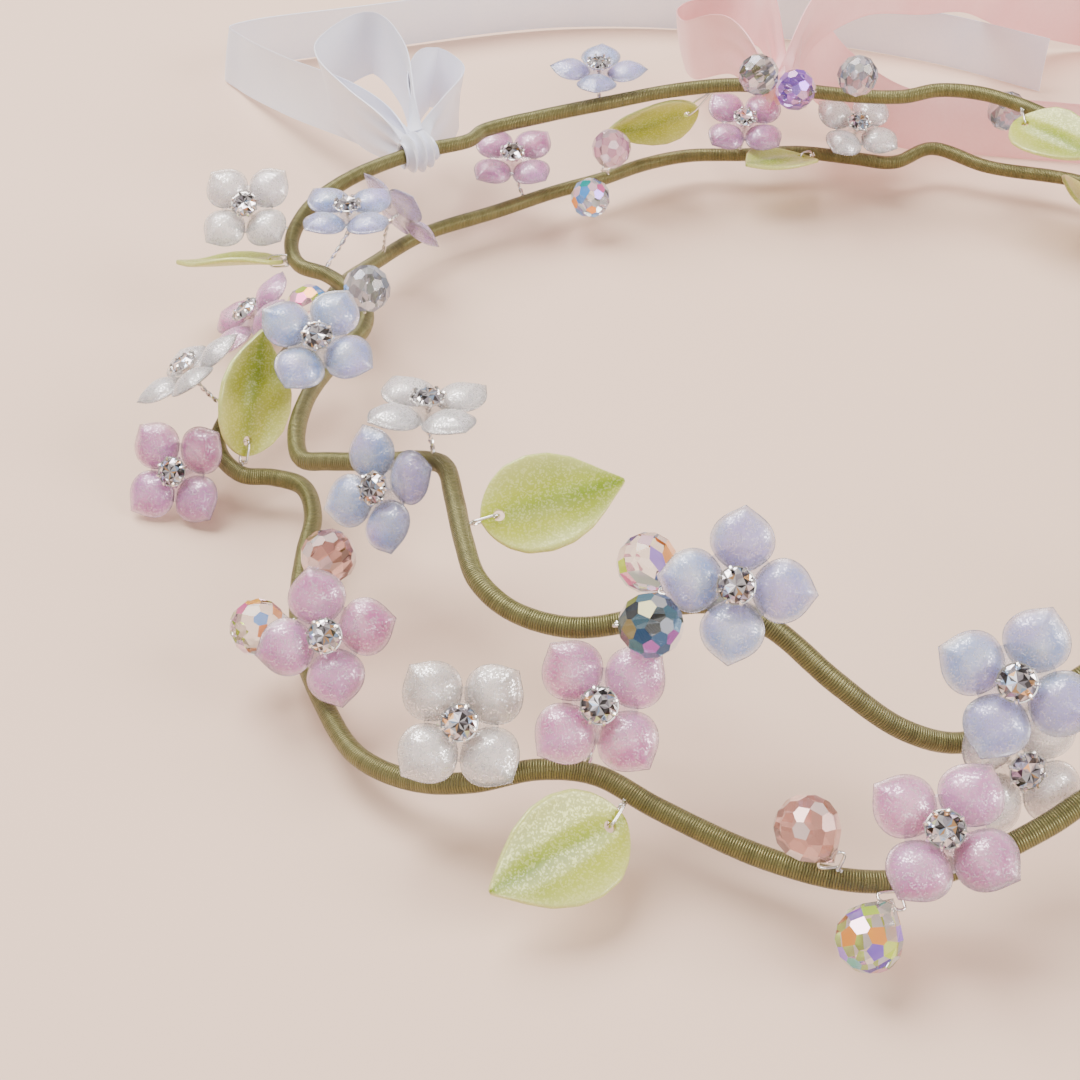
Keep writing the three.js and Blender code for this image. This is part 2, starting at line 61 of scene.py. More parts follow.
# Routes of the two vines: angle round the crown in degrees, radius, height.
LOWER_ROUTE = (
    (0.4, 90, 12), (3, 90, 12), (8, 90, 12), (16, 86, 14), (26, 84, 13), (35, 88, 10), (44, 94, 7),
    (54, 97, 6), (64, 94, 6), (71, 93.5, 8), (75, 89.5, 6), (80, 89.5, 6), (87, 91, 6), (94, 90, 6),
    (101, 91, 6), (107, 89.5, 6), (114, 86.5, 6), (121, 86, 6), (130, 86, 6), (140, 89, 6),
    (150, 88.5, 7), (157, 87.5, 9), (169, 85.5, 11.5), (178, 88, 12), (182, 93, 10), (186, 96, 7),
    (190, 92.5, 6), (191, 88, 6), (193, 84, 6), (198, 83.5, 6), (203, 86.5, 6), (208, 90, 6),
    (213, 93.5, 5), (220, 97, 5), (226, 99.5, 5), (231, 98.5, 6), (235, 96, 8), (239, 91.5, 10),
    (243, 89, 10), (248, 89.5, 8.5), (256, 91.5, 7), (262, 93, 7), (267, 92, 7), (272, 90.5, 9.5),
    (276, 89, 12), (280, 87, 14), (286, 86, 14), (293, 88.5, 11), (300, 92, 8), (308, 93, 7),
    (316, 90, 7), (325, 87, 9), (334, 89, 11), (343, 91, 11.5), (352, 90, 12), (357, 90, 12),
    (359.6, 90, 12),
)
UPPER_ROUTE = (
    (0.4, 83, 22), (3, 83, 22), (8, 83, 22), (17, 87, 21), (26, 92, 21), (35, 92, 22), (44, 88, 22),
    (54, 89, 20), (61, 88.5, 22), (66, 88, 23), (71, 86.5, 23), (75, 84, 22), (81, 82.5, 22),
    (89, 82, 23), (97, 82.5, 24), (105, 84.5, 23), (114, 85.5, 22), (122, 88, 21), (129, 91, 20),
    (132, 89.5, 20), (138, 92.5, 20), (146, 96.5, 19), (152, 98.5, 17), (157, 97, 15), (160, 93, 14),
    (161, 87, 14), (165, 78.5, 13.5), (170, 76, 13.5), (176, 77.5, 14), (187, 81.5, 16),
    (194, 84, 16), (198, 84, 16), (200, 81, 17), (204, 75, 19), (208.5, 70.5, 21.5), (212, 70, 23),
    (217, 72.5, 23), (223, 77, 23), (228, 81, 23), (232, 81.5, 22), (237, 80, 22), (241, 77, 23),
    (245, 74, 25.5), (249, 72.5, 26), (254, 73.5, 25), (260, 76.5, 21), (266, 78, 16), (271, 78, 14),
    (276, 77.5, 16.5), (281, 76, 21), (287, 75.5, 24), (294, 76, 23), (302, 79.5, 20), (310, 82, 19),
    (318, 80, 21), (327, 76.5, 24), (336, 77.5, 24), (345, 81.5, 22), (353, 83, 22), (357, 83, 22),
    (359.6, 83, 22),
)

# Blossoms whose stems are twisted on to the upper vine. The others are on the lower vine.
UPPER_BLOSSOMS = (
    "clear_left_back", "blue_left_back", "blue_left", "clear_left_front", "blue_left_front",
    "blue_front", "blue_right_front", "clear_right_front", "pearl_right_front", "blue_back",
    "blue_right",
)

# Leaves: the vine that each one hangs from, and the angle of its loop's root round the crown.
LEAF_ROOTS = {
    "left": ("lower", 190), "left_front": ("upper", 221), "front": ("lower", 246),
    "left_back": ("upper", 159.5), "back": ("upper", 99), "right_back": ("lower", 84.5),
    "right_back_upper": ("upper", 61), "right_back_lower": ("lower", 52),
    "right_front": ("lower", 298),
}

# Drops on the upper vine. The others are on the lower vine.
UPPER_DROPS = (
    "clear_front", "ink_front", "clear_left_back", "smoke_left_back", "violet_back", "smoke_back",
    "smoke_right_back", "grey_right_back", "clear_right",
)

# Ribbons: the knot, and each stretch as x, y and the height of its lower edge.
RIBBON_WIDTH = 12
PALE_KNOT = (-69, 62, 20)
PALE_STRETCHES = (
    ((-70, 64, 14), (-84, 88, 10), (-100, 114, 4), (-113, 134, 0.6), (-117, 141, 0.3),
     (-112, 146, 0.3), (-84, 156, 0.3), (-40, 168, 0.3), (0, 166, 0.3), (40, 150, 0.3), (64, 133, 0.3)),
    ((-71, 63, 14), (-82, 78, 14), (-89, 95, 15), (-81, 102, 18), (-73, 88, 18), (-69, 65, 15)),
    ((-68, 64, 14), (-65, 78, 12), (-63, 94, 11), (-68, 99, 12), (-71, 84, 14), (-70, 65, 14)),
)
PINK_KNOT = (-1.4, 83.4, 23.3)
PINK_STRETCHES = (
    ((-3, 83, 17), (-9, 98, 19), (-16, 118, 10), (-15, 138, 6), (-5, 134, 10), (-2, 110, 20),
     (-1.5, 84, 18)),
    ((-0.5, 83.5, 17.6), (6, 96, 25), (18, 108, 27), (34, 122, 22), (48, 138, 16), (64, 152, 6),
     (84, 156, 0.5), (104, 150, 0.3)),
    ((0.6, 82.6, 16.6), (5, 98, 20), (13, 106, 9), (27, 104, 1.5), (44, 102, 0.4), (64, 98, 0.4),
     (84, 94, 0.4), (100, 98, 0.4)),
)

# Sizes that the model's pieces share.
THREAD_RADIUS = 1.3
BLOSSOM_RADIUS = 9.2
BLOSSOM_DISH = 1.2
LEAF_LENGTH = 19
LEAF_HALF_WIDTH = 6.4
LEAF_HOLE_INSET = 2.4
LEAF_CUP = 1.3
DROP_HOLE_TO_BALL = 5
DROP_TIP_OVER_HOLE = 1.1
DROP_REACH = 4.1

# ---- Camera, light and floor ----


def set_camera():
    bpy.ops.object.camera_add(
        location=(-46.9 * MM, -205.4 * MM, 148.4 * MM), rotation=(math.radians(50.7), 0, 0)
    )
    camera = bpy.context.object
    camera.data.lens = 53.3
    camera.data.sensor_width = 36
    camera.data.clip_start = 0.01
    bpy.context.scene.camera = camera


def add_light(name, place, size, power, colour):
    bpy.ops.object.light_add(type="AREA", location=place)
    light = bpy.context.object
    light.name = name
    light.data.shape = "DISK"
    light.data.size = size
    light.data.energy = power
    light.data.color = colour
    light.rotation_euler = (-Vector(place)).to_track_quat("-Z", "Y").to_euler()


def set_light():
    add_light("window", (-0.4, 0.35, 0.85), 0.85, 22.0, (1.0, 0.965, 0.925))
    add_light("side_panel", (0.8, -0.35, 0.55), 0.6, 11.0, (1.0, 0.95, 0.9))
    add_light("front_fill", (0.1, -0.9, 0.7), 0.7, 2.5, (1.0, 0.98, 0.97))
    world = bpy.data.worlds.new("studio")
    world.use_nodes = True
    world.node_tree.nodes["Background"].inputs["Color"].default_value = (0.97, 0.88, 0.81, 1)
    world.node_tree.nodes["Background"].inputs["Strength"].default_value = 0.5
    bpy.context.scene.world = world


# ---- Shader maths ----


def operator(operation, reflected=False):
    """An operator of Value, which adds the node that works it out."""
    def work_out(value, other):
        terms = (other, value) if reflected else (value, other)
        return value.maths(operation, *terms)
    return work_out


class Value:
    """A number that changes over a surface. Sums on it add the nodes that work it out."""

    def __init__(self, finish, socket):
        self.finish = finish
        self.socket = socket

    def maths(self, operation, *terms):
        inputs = dict(enumerate(terms))
        return self.finish.node("ShaderNodeMath", {"operation": operation}, inputs)

    __add__, __radd__ = operator("ADD"), operator("ADD", True)
    __sub__, __rsub__ = operator("SUBTRACT"), operator("SUBTRACT", True)
    __mul__, __rmul__ = operator("MULTIPLY"), operator("MULTIPLY", True)
    __truediv__, __pow__ = operator("DIVIDE"), operator("POWER")

    def size(self):
        return self.maths("ABSOLUTE", self)

    def sine(self):
        return self.maths("SINE", self)

    def whole(self):
        return self.maths("FLOOR", self)

    def held(self, low, high):
        return self.maths("MINIMUM", self.maths("MAXIMUM", self, low), high)


class Finish:
    """A material under construction."""

    def __init__(self, name):
        self.material = bpy.data.materials.new(name)
        self.material.use_nodes = True
        self.tree = self.material.node_tree
        self.tree.nodes.clear()

    def node(self, kind, settings=None, inputs=None, output=0):
        made = self.tree.nodes.new(kind)
        for name, value in (settings or {}).items():
            setattr(made, name, value)
        for name, value in (inputs or {}).items():
            if isinstance(value, Value):
                self.tree.links.new(value.socket, made.inputs[name])
            else:
                made.inputs[name].default_value = value
        return Value(self, made.outputs[output])

    def object_place(self):
        return self.node("ShaderNodeTexCoord", output="Object")

    def along_and_across(self):
        """The piece's own map: across, or round it, and along it in millimetres."""
        place = self.node("ShaderNodeUVMap", {"uv_map": "UVMap"})
        across = self.node("ShaderNodeSeparateXYZ", inputs={0: place}, output="X")
        along = self.node("ShaderNodeSeparateXYZ", inputs={0: place}, output="Y")
        return across, along

    def noise(self, place, scale, detail=2.0, roughness=0.5):
        inputs = {"Vector": place, "Scale": scale, "Detail": detail, "Roughness": roughness}
        return self.node("ShaderNodeTexNoise", inputs=inputs)

    def blend(self, part, low, high):
        """A colour between two, by a part from 0 to 1."""
        settings = {"data_type": "RGBA", "clamp_factor": True}
        inputs = {"Factor": part, 6: low, 7: high}
        return self.node("ShaderNodeMix", settings, inputs, output=2)

    def bump(self, height, distance, strength):
        inputs = {"Height": height, "Distance": distance, "Strength": strength}
        return self.node("ShaderNodeBump", inputs=inputs)

    def surface(self, **inputs):
        named = {key.replace("_", " ").title().replace("Ior", "IOR"): value
                 for key, value in inputs.items()}
        return self.node("ShaderNodeBsdfPrincipled", inputs=named)

    def mixed(self, part, first, second):
        return self.node("ShaderNodeMixShader", inputs={0: part, 1: first, 2: second})

    def done(self, shader):
        output = self.tree.nodes.new("ShaderNodeOutputMaterial")
        self.tree.links.new(shader.socket, output.inputs["Surface"])
        return self.material


def rgba(red, green, blue, alpha=1.0):
    return (red, green, blue, alpha)


# ---- Finishes ----

TURN_PITCH = 0.31  # millimetres of vine to each turn of its thread
SATIN_RIB = 0.24
PETAL_GLITTER = 5600  # grains to a metre
LEAF_GLITTER = 5000


def flakes(finish, place, scale, least):
    """Fine glitter cast into resin: how bright each grain is, from 0 to 1, and its tilt."""
    grain = finish.node("ShaderNodeTexVoronoi", inputs={"Vector": place, "Scale": scale},
                        output="Color")
    chance = finish.node("ShaderNodeSeparateXYZ", inputs={0: grain}, output="X")
    return ((chance - least) * 5.0).held(0.0, 1.0), chance


def resin_finish(name, deep, pale, sheen, grain):
    """Frosted resin petals, milky and pearly in their domes and clear in the rim round them, with painted shade in
    a darker ring down the domes' sloping sides.
    """
    finish = Finish(name)
    place = finish.object_place()
    outward, _ = finish.along_and_across()
    cloud = finish.noise(place, 300, 3.0)
    pearl = finish.noise(place, 130, 2.0)
    flake, tilt = flakes(finish, place, PETAL_GLITTER, 0.62)
    # painted shade: a ring down each dome's sloping side is turned towards the deep colour
    slope_shade = (1.0 - (outward - 0.62).size() * 2.6).held(0.0, 1.0)
    shade = ((cloud - 0.5) * 2.2 + 0.85 - slope_shade * 0.6).held(0.0, 1.0)
    body = finish.blend(shade, deep, pale)
    colour = finish.blend(((pearl - 0.42) * 3.5).held(0.0, 0.7), body, sheen)
    bright = finish.blend(flake * grain, colour, rgba(1.0, 0.98, 1.0))
    relief = finish.bump(tilt * 0.7 + finish.noise(place, 1500, 2.0), 0.00005, 0.35 * grain + 0.1)
    milky = finish.surface(
        base_color=bright, metallic=flake * (0.5 * grain), roughness=0.36 - flake * 0.12,
        ior=1.5, subsurface_weight=0.3, subsurface_radius=(0.9, 0.8, 1.0), subsurface_scale=0.002,
        transmission_weight=0.55, coat_weight=0.28, coat_roughness=0.28, normal=relief,
    )
    clear = finish.surface(
        base_color=finish.blend(0.7, colour, rgba(1, 1, 1)), roughness=0.16, ior=1.42,
        transmission_weight=0.88, coat_weight=0.4, coat_roughness=0.1, normal=relief,
    )
    return finish.done(finish.mixed(((outward - 0.78) * 4.5).held(0.0, 0.85), milky, clear))


def leaf_finish():
    """Green resin, paler and clearer towards the edge, with a green streak and fine glitter."""
    finish = Finish("leaf_resin")
    place = finish.object_place()
    across, along = finish.along_and_across()
    edge = (across * across * across * across).held(0.0, 1.0)
    cloud = finish.noise(place, 190, 3.0)
    flake, tilt = flakes(finish, place, LEAF_GLITTER, 0.6)
    streak = (1.0 - (across.size() * 2.6)).held(0.0, 1.0) * cloud
    green = finish.blend((streak * 1.3 + along * 0.045 - 0.12).held(0.0, 1.0),
                         rgba(0.5, 0.56, 0.03), rgba(0.22, 0.33, 0.0))
    cloudy = finish.blend(((cloud - 0.42) * 2.6).held(0.0, 1.0) * 0.5, green, rgba(0.62, 0.67, 0.12))
    rimmed = finish.blend(edge * 0.6, cloudy, rgba(0.78, 0.8, 0.34))
    bright = finish.blend(flake * 0.32, rimmed, rgba(0.95, 0.95, 0.45))
    relief = finish.bump(tilt * 0.5 + finish.noise(place, 900, 2.0), 0.00004, 0.35)
    return finish.done(finish.surface(
        base_color=bright, metallic=flake * 0.15, roughness=0.36 - flake * 0.08, ior=1.5,
        subsurface_weight=0.3, subsurface_radius=(0.9, 1.0, 0.3), subsurface_scale=0.002,
        transmission_weight=0.2, coat_weight=0.3, coat_roughness=0.22, normal=relief,
    ))


def glass_finish(name, colour, patch_metal):
    """Cut glass. Coated facets carry their own tint, kept in the piece's colour attribute, with a faint painted
    glow in that tint.
    """
    finish = Finish(name)
    tint = finish.node("ShaderNodeAttribute", {"attribute_name": "facet"}, output="Color")
    part = finish.node("ShaderNodeAttribute", {"attribute_name": "facet"}, output="Alpha")
    clear = finish.surface(
        base_color=colour, roughness=0.02, ior=1.52, transmission_weight=1.0,
        coat_weight=0.3, coat_roughness=0.03,
    )
    coated = finish.surface(
        base_color=tint, metallic=patch_metal, roughness=0.12, ior=1.5, coat_weight=0.8,
        coat_roughness=0.03, emission_color=tint, emission_strength=0.12,
    )
    return finish.done(finish.mixed(part, clear, coated))


def rhinestone_finish():
    """A foiled stone: every facet mirrors at its own strength, its colour a painted reflection, with a faint
    painted glow.
    """
    finish = Finish("rhinestone")
    tint = finish.node("ShaderNodeAttribute", {"attribute_name": "facet"}, output="Color")
    return finish.done(finish.surface(
        base_color=tint, metallic=0.85, roughness=0.06, coat_weight=1.0, coat_roughness=0.02,
        emission_color=tint, emission_strength=0.1,
    ))


def silver_finish():
    finish = Finish("silver_wire")
    place = finish.object_place()
    worn = finish.noise(place, 900, 3.0)
    colour = finish.blend(worn, rgba(0.75, 0.72, 0.69), rgba(0.97, 0.96, 0.95))
    return finish.done(finish.surface(
        base_color=colour, metallic=1.0, roughness=worn * 0.18 + 0.12,
        normal=finish.bump(worn, 0.00003, 0.4),
    ))


def thread_finish():
    """Satin thread in close turns, each turn a shade apart from the next, with painted shade in the grooves
    between turns and a painted highlight along each turn's crest.
    """
    finish = Finish("olive_thread")
    around, along = finish.along_and_across()
    turn = along / TURN_PITCH + around
    round_turn = (turn * math.pi).sine().size() ** 0.6
    shade = finish.node("ShaderNodeTexWhiteNoise", {"noise_dimensions": "1D"},
                        {"W": turn.whole()})
    place = finish.object_place()
    drift = finish.noise(place, 160, 3.0)
    fibre = finish.noise(place, 5200, 2.0, 0.7)
    deep = finish.blend((drift * 1.6 - 0.3).held(0.0, 1.0), rgba(0.02, 0.019, 0.004),
                        rgba(0.055, 0.052, 0.013))
    # painted highlight and shade: each turn runs from the dark colour in its grooves to the light colour on its
    # crest
    lit = finish.blend((shade * 0.25 + round_turn * 0.6).held(0.0, 1.0), deep,
                       rgba(0.29, 0.27, 0.105))
    relief = finish.bump(round_turn + fibre * 0.25, 0.00014, 1.0)
    return finish.done(finish.surface(
        base_color=lit, metallic=round_turn * 0.6, roughness=0.22 + fibre * 0.14, ior=1.55,
        sheen_weight=0.15, sheen_roughness=0.3, sheen_tint=rgba(0.95, 0.9, 0.5), normal=relief,
    ))


def satin_finish(name, deep, pale):
    """Satin ribbon: fine ribs across its width, a soft drift of tone and a firm selvedge."""
    finish = Finish(name)
    across, along = finish.along_and_across()
    place = finish.object_place()
    rib = (along * (2 * math.pi / SATIN_RIB)).sine() * 0.5 + 0.5
    slub = finish.noise(place, 1400, 3.0, 0.6)
    drift = finish.noise(place, 60, 2.0)
    selvedge = ((across.size() - 0.9) * 18.0).held(0.0, 1.0)
    colour = finish.blend((drift * 0.9 + slub * 0.35 - 0.15).held(0.0, 1.0), deep, pale)
    edged = finish.blend(selvedge * 0.35, colour, deep)
    relief = finish.bump(rib * 0.5 + slub * 0.5 + selvedge, 0.00003, 0.5)
    return finish.done(finish.surface(
        base_color=edged, roughness=0.34 + slub * 0.1, ior=1.55,
        sheen_weight=0.35, sheen_roughness=0.3, subsurface_weight=0.25,
        subsurface_radius=(1.0, 0.9, 0.9), subsurface_scale=0.002, normal=relief,
    ))


def floor_finish():
    finish = Finish("table")
    place = finish.object_place()
    colour = finish.blend(finish.noise(place, 6, 2.0), rgba(0.8, 0.575, 0.445),
                          rgba(0.83, 0.6, 0.47))
    return finish.done(finish.surface(
        base_color=colour, roughness=0.75, normal=finish.bump(finish.noise(place, 900), 0.00002, 0.3),
    ))


# Resins: their deep, pale and pearly colours, and how strong their glitter is.
RESINS = {
    "clear_resin": ((0.74, 0.7, 0.7), (0.96, 0.94, 0.94), (0.9, 0.88, 0.96), 0.8),
    "pearl_resin": ((0.5, 0.46, 0.44), (0.9, 0.86, 0.84), (0.95, 0.92, 0.93), 1.0),
    "blue_resin": ((0.28, 0.42, 0.82), (0.66, 0.76, 0.96), (0.6, 0.5, 0.93), 0.4),
    "pink_resin": ((0.6, 0.17, 0.45), (0.92, 0.54, 0.73), (0.8, 0.42, 0.78), 0.55),
    "mauve_resin": ((0.45, 0.12, 0.36), (0.84, 0.46, 0.68), (0.66, 0.32, 0.7), 0.5),
    "violet_resin": ((0.42, 0.22, 0.66), (0.8, 0.66, 0.92), (0.6, 0.6, 0.95), 0.6),
}
# Glasses: their colour, and how metallic their coated facets are.
GLASSES = {
    "aurora_glass": ((1.0, 1.0, 1.0), 0.5), "champagne_glass": ((0.84, 0.5, 0.45), 0.4),
    "ink_glass": ((0.3, 0.42, 0.5), 0.8), "smoke_glass": ((0.66, 0.68, 0.76), 0.6),
    "mauve_glass": ((0.86, 0.62, 0.74), 0.4), "violet_glass": ((0.7, 0.5, 0.95), 0.6),
}
FINISHES = {
    "silver_wire": silver_finish(),
    "olive_thread": thread_finish(),
    "rhinestone": rhinestone_finish(),
    "leaf_resin": leaf_finish(),
    "pale_blue_satin": satin_finish("pale_blue_satin", rgba(0.7, 0.74, 0.95),
                                    rgba(0.95, 0.94, 1.0)),
    "pink_satin": satin_finish("pink_satin", rgba(0.86, 0.32, 0.34), rgba(0.98, 0.58, 0.58)),
}
for slot, (*colours, grain) in RESINS.items():
    FINISHES[slot] = resin_finish(slot, *(rgba(*colour) for colour in colours), grain)
for slot, (colour, metal) in GLASSES.items():
    FINISHES[slot] = glass_finish(slot, rgba(*colour), metal)
SLOTS = {part["node"]: part["material_slot"] for part in frame["record"]["subparts"]}

# ---- Mesh work ----


def deselect():
    if bpy.context.object and bpy.context.object.mode != "OBJECT":
        bpy.ops.object.mode_set(mode="OBJECT")
    bpy.ops.object.select_all(action="DESELECT")


def only(piece):
    deselect()
    piece.select_set(True)
    bpy.context.view_layer.objects.active = piece


def start(name):
    """Names the primitive that was just added, and moves its place into its mesh."""
    piece = bpy.context.object
    piece.name = name
    piece.data.name = name
    bpy.ops.object.transform_apply(location=True, rotation=True, scale=True)
    return piece


def reshape(piece, place_of):
    """Moves every corner to where a formula puts it. Works on all corners at once."""
    corners = np.empty(len(piece.data.vertices) * 3)
    piece.data.vertices.foreach_get("co", corners)
    moved = place_of(corners.reshape(-1, 3))
    piece.data.vertices.foreach_set("co", np.ascontiguousarray(moved).ravel())
    piece.data.update()


def finish_modifier(piece, kind, **settings):
    only(piece)
    modifier = piece.modifiers.new(kind.lower(), kind)
    for name, value in settings.items():
        setattr(modifier, name, value)
    bpy.ops.object.modifier_apply(modifier=modifier.name)


def from_shells(name, shells):
    """One piece from several swept or turned shells, each (corners, faces, map)."""
    corners, faces, mapped = [], [], []
    for shell_corners, shell_faces, shell_map in shells:
        base = len(corners)
        corners.extend(shell_corners)
        faces.extend([tuple(base + i for i in face) for face in shell_faces])
        mapped.extend(shell_map)
    mesh = bpy.data.meshes.new(name)
    mesh.from_pydata([tuple(c) for c in corners], [], faces)
    layer = mesh.uv_layers.new(name="UVMap")
    layer.data.foreach_set("uv", np.array(mapped, dtype=np.float32).ravel())
    mesh.update()
    piece = bpy.data.objects.new(name, mesh)
    bpy.context.scene.collection.objects.link(piece)
    return piece


def place_copy(master, name, frame_matrix):
    """A copy of a finished master, with its own mesh, in its place."""
    piece = bpy.data.objects.new(name, master.data.copy())
    bpy.context.scene.collection.objects.link(piece)
    piece.data.transform(frame_matrix)
    return piece


def dress(piece, finish, body, *replaced):
    """Gives a piece its finish and body, and the nodes of the model that it stands in for."""
    piece.data.materials.clear()
    piece.data.materials.append(FINISHES[finish])
    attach(piece, body)
    if replaced:
        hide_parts(*replaced)


def smooth(piece, degrees):
    """Shades the piece smooth wherever its faces meet at less than an angle."""
    only(piece)
    bpy.ops.object.shade_smooth_by_angle(angle=math.radians(degrees))


def remove(piece):
    bpy.data.objects.remove(piece, do_unlink=True)


def drill_through(piece, drill):
    finish_modifier(piece, "BOOLEAN", operation="DIFFERENCE", object=drill, solver="EXACT")
    remove(drill)


# ---- Curves ----


def curve_through(points, samples):
    """A smooth curve through points, centripetal, with the same number of samples in each span."""
    points = [np.array(p, dtype=float) for p in points]
    padded = [2 * points[0] - points[1], *points, 2 * points[-1] - points[-2]]
    curve = []
    for i in range(len(points) - 1):
        p0, p1, p2, p3 = padded[i:i + 4]
        t1 = max(np.linalg.norm(p1 - p0), 1e-9) ** 0.5
        t2 = t1 + max(np.linalg.norm(p2 - p1), 1e-9) ** 0.5
        t3 = t2 + max(np.linalg.norm(p3 - p2), 1e-9) ** 0.5
        for t in np.linspace(t1, t2, samples, endpoint=False):
            a1 = (t1 - t) / t1 * p0 + t / t1 * p1
            a2 = (t2 - t) / (t2 - t1) * p1 + (t - t1) / (t2 - t1) * p2
            a3 = (t3 - t) / (t3 - t2) * p2 + (t - t2) / (t3 - t2) * p3
            b1 = (t2 - t) / t2 * a1 + t / t2 * a2
            b2 = (t3 - t) / (t3 - t1) * a2 + (t - t1) / (t3 - t1) * a3
            curve.append((t2 - t) / (t2 - t1) * b1 + (t - t1) / (t2 - t1) * b2)
    curve.append(points[-1])
    return np.array(curve)


def lengths_along(points):
    """How far along a curve each of its points is."""
    return np.concatenate([[0], np.cumsum(np.linalg.norm(np.diff(points, axis=0), axis=1))])


def evenly(points, step):
    """The same curve with its points a step apart."""
    lengths = lengths_along(points)
    stops = np.linspace(0, lengths[-1], max(2, int(round(lengths[-1] / step)) + 1))
    return np.stack([np.interp(stops, lengths, points[:, k]) for k in range(3)], axis=1)


def carried_sides(points):
    """Two sides square to the curve at each point, that turn as little as they can along it."""
    tangents = np.gradient(points, axis=0)
    tangents /= np.linalg.norm(tangents, axis=1)[:, None]
    side = np.cross(tangents[0], (0, 0, 1))
    if np.linalg.norm(side) < 1e-6:
        side = np.array((1.0, 0, 0))
    sides = []
    for tangent in tangents:
        side = side - tangent * side.dot(tangent)
        side /= np.linalg.norm(side)
        sides.append(side)
    sides = np.array(sides)
    return sides, np.cross(tangents, sides)


def tube(points, radius, sides):
    """A swept tube as (corners, faces, map). Its map runs round it, and along it in millimetres."""
    points = np.asarray(points)
    first, second = carried_sides(points)
    radii = np.broadcast_to(radius, len(points))
    angles = np.linspace(0, 2 * math.pi, sides, endpoint=False)
    rings = (points[:, None, :]
             + radii[:, None, None] * (np.cos(angles)[None, :, None] * first[:, None, :]
                                       + np.sin(angles)[None, :, None] * second[:, None, :]))
    lengths = lengths_along(points)
    corners = list(rings.reshape(-1, 3))
    faces, mapped = [], []
    for i in range(len(points) - 1):
        for k in range(sides):
            n = (k + 1) % sides
            faces.append((i * sides + k, i * sides + n, (i + 1) * sides + n, (i + 1) * sides + k))
            low, high = lengths[i] / MM, lengths[i + 1] / MM
            around, onward = k / sides, (k + 1) / sides
            mapped.extend([(around, low), (onward, low), (onward, high), (around, high)])
    last = (len(points) - 1) * sides
    faces.append(tuple(range(sides - 1, -1, -1)))
    faces.append(tuple(range(last, last + sides)))
    mapped.extend([(0, 0)] * (2 * sides))
    return corners, faces, mapped


def turned(profile, sides, matrix):
    """A closed shell turned about Z from a profile that starts and ends on the axis."""
    corners, faces = [], []
    rows = []
    for radius, height in profile:
        if radius < 1e-9:
            rows.append([len(corners)] * sides)
            corners.append(matrix @ Vector((0, 0, height * MM)))
            continue
        rows.append(list(range(len(corners), len(corners) + sides)))
        for k in range(sides):
            angle = 2 * math.pi * k / sides
            corners.append(matrix @ Vector((
                radius * MM * math.cos(angle), radius * MM * math.sin(angle), height * MM)))
    for low, high in zip(rows, rows[1:]):
        for k in range(sides):
            n = (k + 1) % sides
            face = []
            for corner in (low[k], low[n], high[n], high[k]):
                if corner not in face:
                    face.append(corner)
            faces.append(tuple(face))
    mapped = [(0, 0)] * sum(len(f) for f in faces)
    return corners, faces, mapped


def carried(points, matrix):
    return np.array([matrix @ Vector(p) for p in points])


# ---- Vines ----


def vine_curve(route):
    points = [(radius * math.cos(math.radians(angle)) * MM,
               radius * math.sin(math.radians(angle)) * MM, height * MM)
              for angle, radius, height in route]
    return curve_through(points, 12)


VINES = {"lower": vine_curve(LOWER_ROUTE), "upper": vine_curve(UPPER_ROUTE)}
WINDING_STEP = 0.8
WINDING_SWELL = 0.09  # how uneven the winding is
SWELL_REACH = 9  # steps that the unevenness is spread over
TIE_RADIUS = 2.15
TIE_TAPER = 0.3
TIE_RIPPLE = 0.04


def nearest_on_vine(vine, place):
    """The point of the vine's centre line nearest a place."""
    points = VINES[vine]
    return Vector(points[np.argmin(np.linalg.norm(points - np.array(place), axis=1))])


def on_vine(vine, angle):
    """The point of the vine's centre line at an angle round the crown."""
    points = VINES[vine]
    angles = np.degrees(np.arctan2(points[:, 1], points[:, 0])) % 360
    return Vector(points[np.argmin(np.abs(angles - angle))])


def wind_vine(vine):
    """The winding round one vine, and the tie that closes its ring."""
    route = evenly(VINES[vine], WINDING_STEP * MM)
    uneven = random.Random(vine)
    bumps = [uneven.uniform(-1, 1) for _ in range(len(route) + SWELL_REACH - 1)]
    swell = np.convolve(bumps, np.ones(SWELL_REACH) / SWELL_REACH, mode="valid")
    radius = (THREAD_RADIUS + WINDING_SWELL * swell) * MM
    winding = from_shells(f"{vine}_vine_winding", [tube(route, radius, 14)])
    smooth(winding, 60)
    dress(winding, "olive_thread", "crown", f"{vine}_vine_thread")
    low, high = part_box(f"{vine}_vine_binding")
    middle = (low + high) / 2
    half = (high.y - low.y) / 2
    steps = np.linspace(-1, 1, 25)
    tie_route = [(middle.x, middle.y + half * s, middle.z) for s in steps]
    taper = TIE_TAPER * np.abs(steps) ** 6
    tie_radius = (TIE_RADIUS - taper + TIE_RIPPLE * np.sin(9 * steps)) * MM
    tie = from_shells(f"{vine}_vine_tie", [tube(tie_route, tie_radius, 20)])
    smooth(tie, 60)
    dress(tie, "olive_thread", "crown", f"{vine}_vine_binding")


# ---- Silver wire ----

SILVER = {"lower": [], "upper": []}  # shells of wire, for each vine
STRAND = 0.2 * MM
STRAND_STEP = 0.25
NECK_START = 1  # under the winding, from the vine's centre line
NECK_END = 2
NECK_TURNS = 1.5
# An open loop past its neck: how far to the side, in clearances, and back over the hole, in covers.
LOOP_PATH = ((0.8, 1.25), (1, 0.7), (0.8, 0.1), (0.3, 0), (-0.3, 0), (-0.8, 0.1), (-1, 0.7),
             (-0.8, 1.25))


def twisted(points, turns, spread):
    """Two strands twisted round each other along a path."""
    path = evenly(np.array(points), STRAND_STEP * MM)
    first, second = carried_sides(path)
    turn = np.linspace(0, 2 * math.pi * turns, len(path))[:, None]
    around = spread * (np.cos(turn) * first + np.sin(turn) * second)
    return path + around, path - around


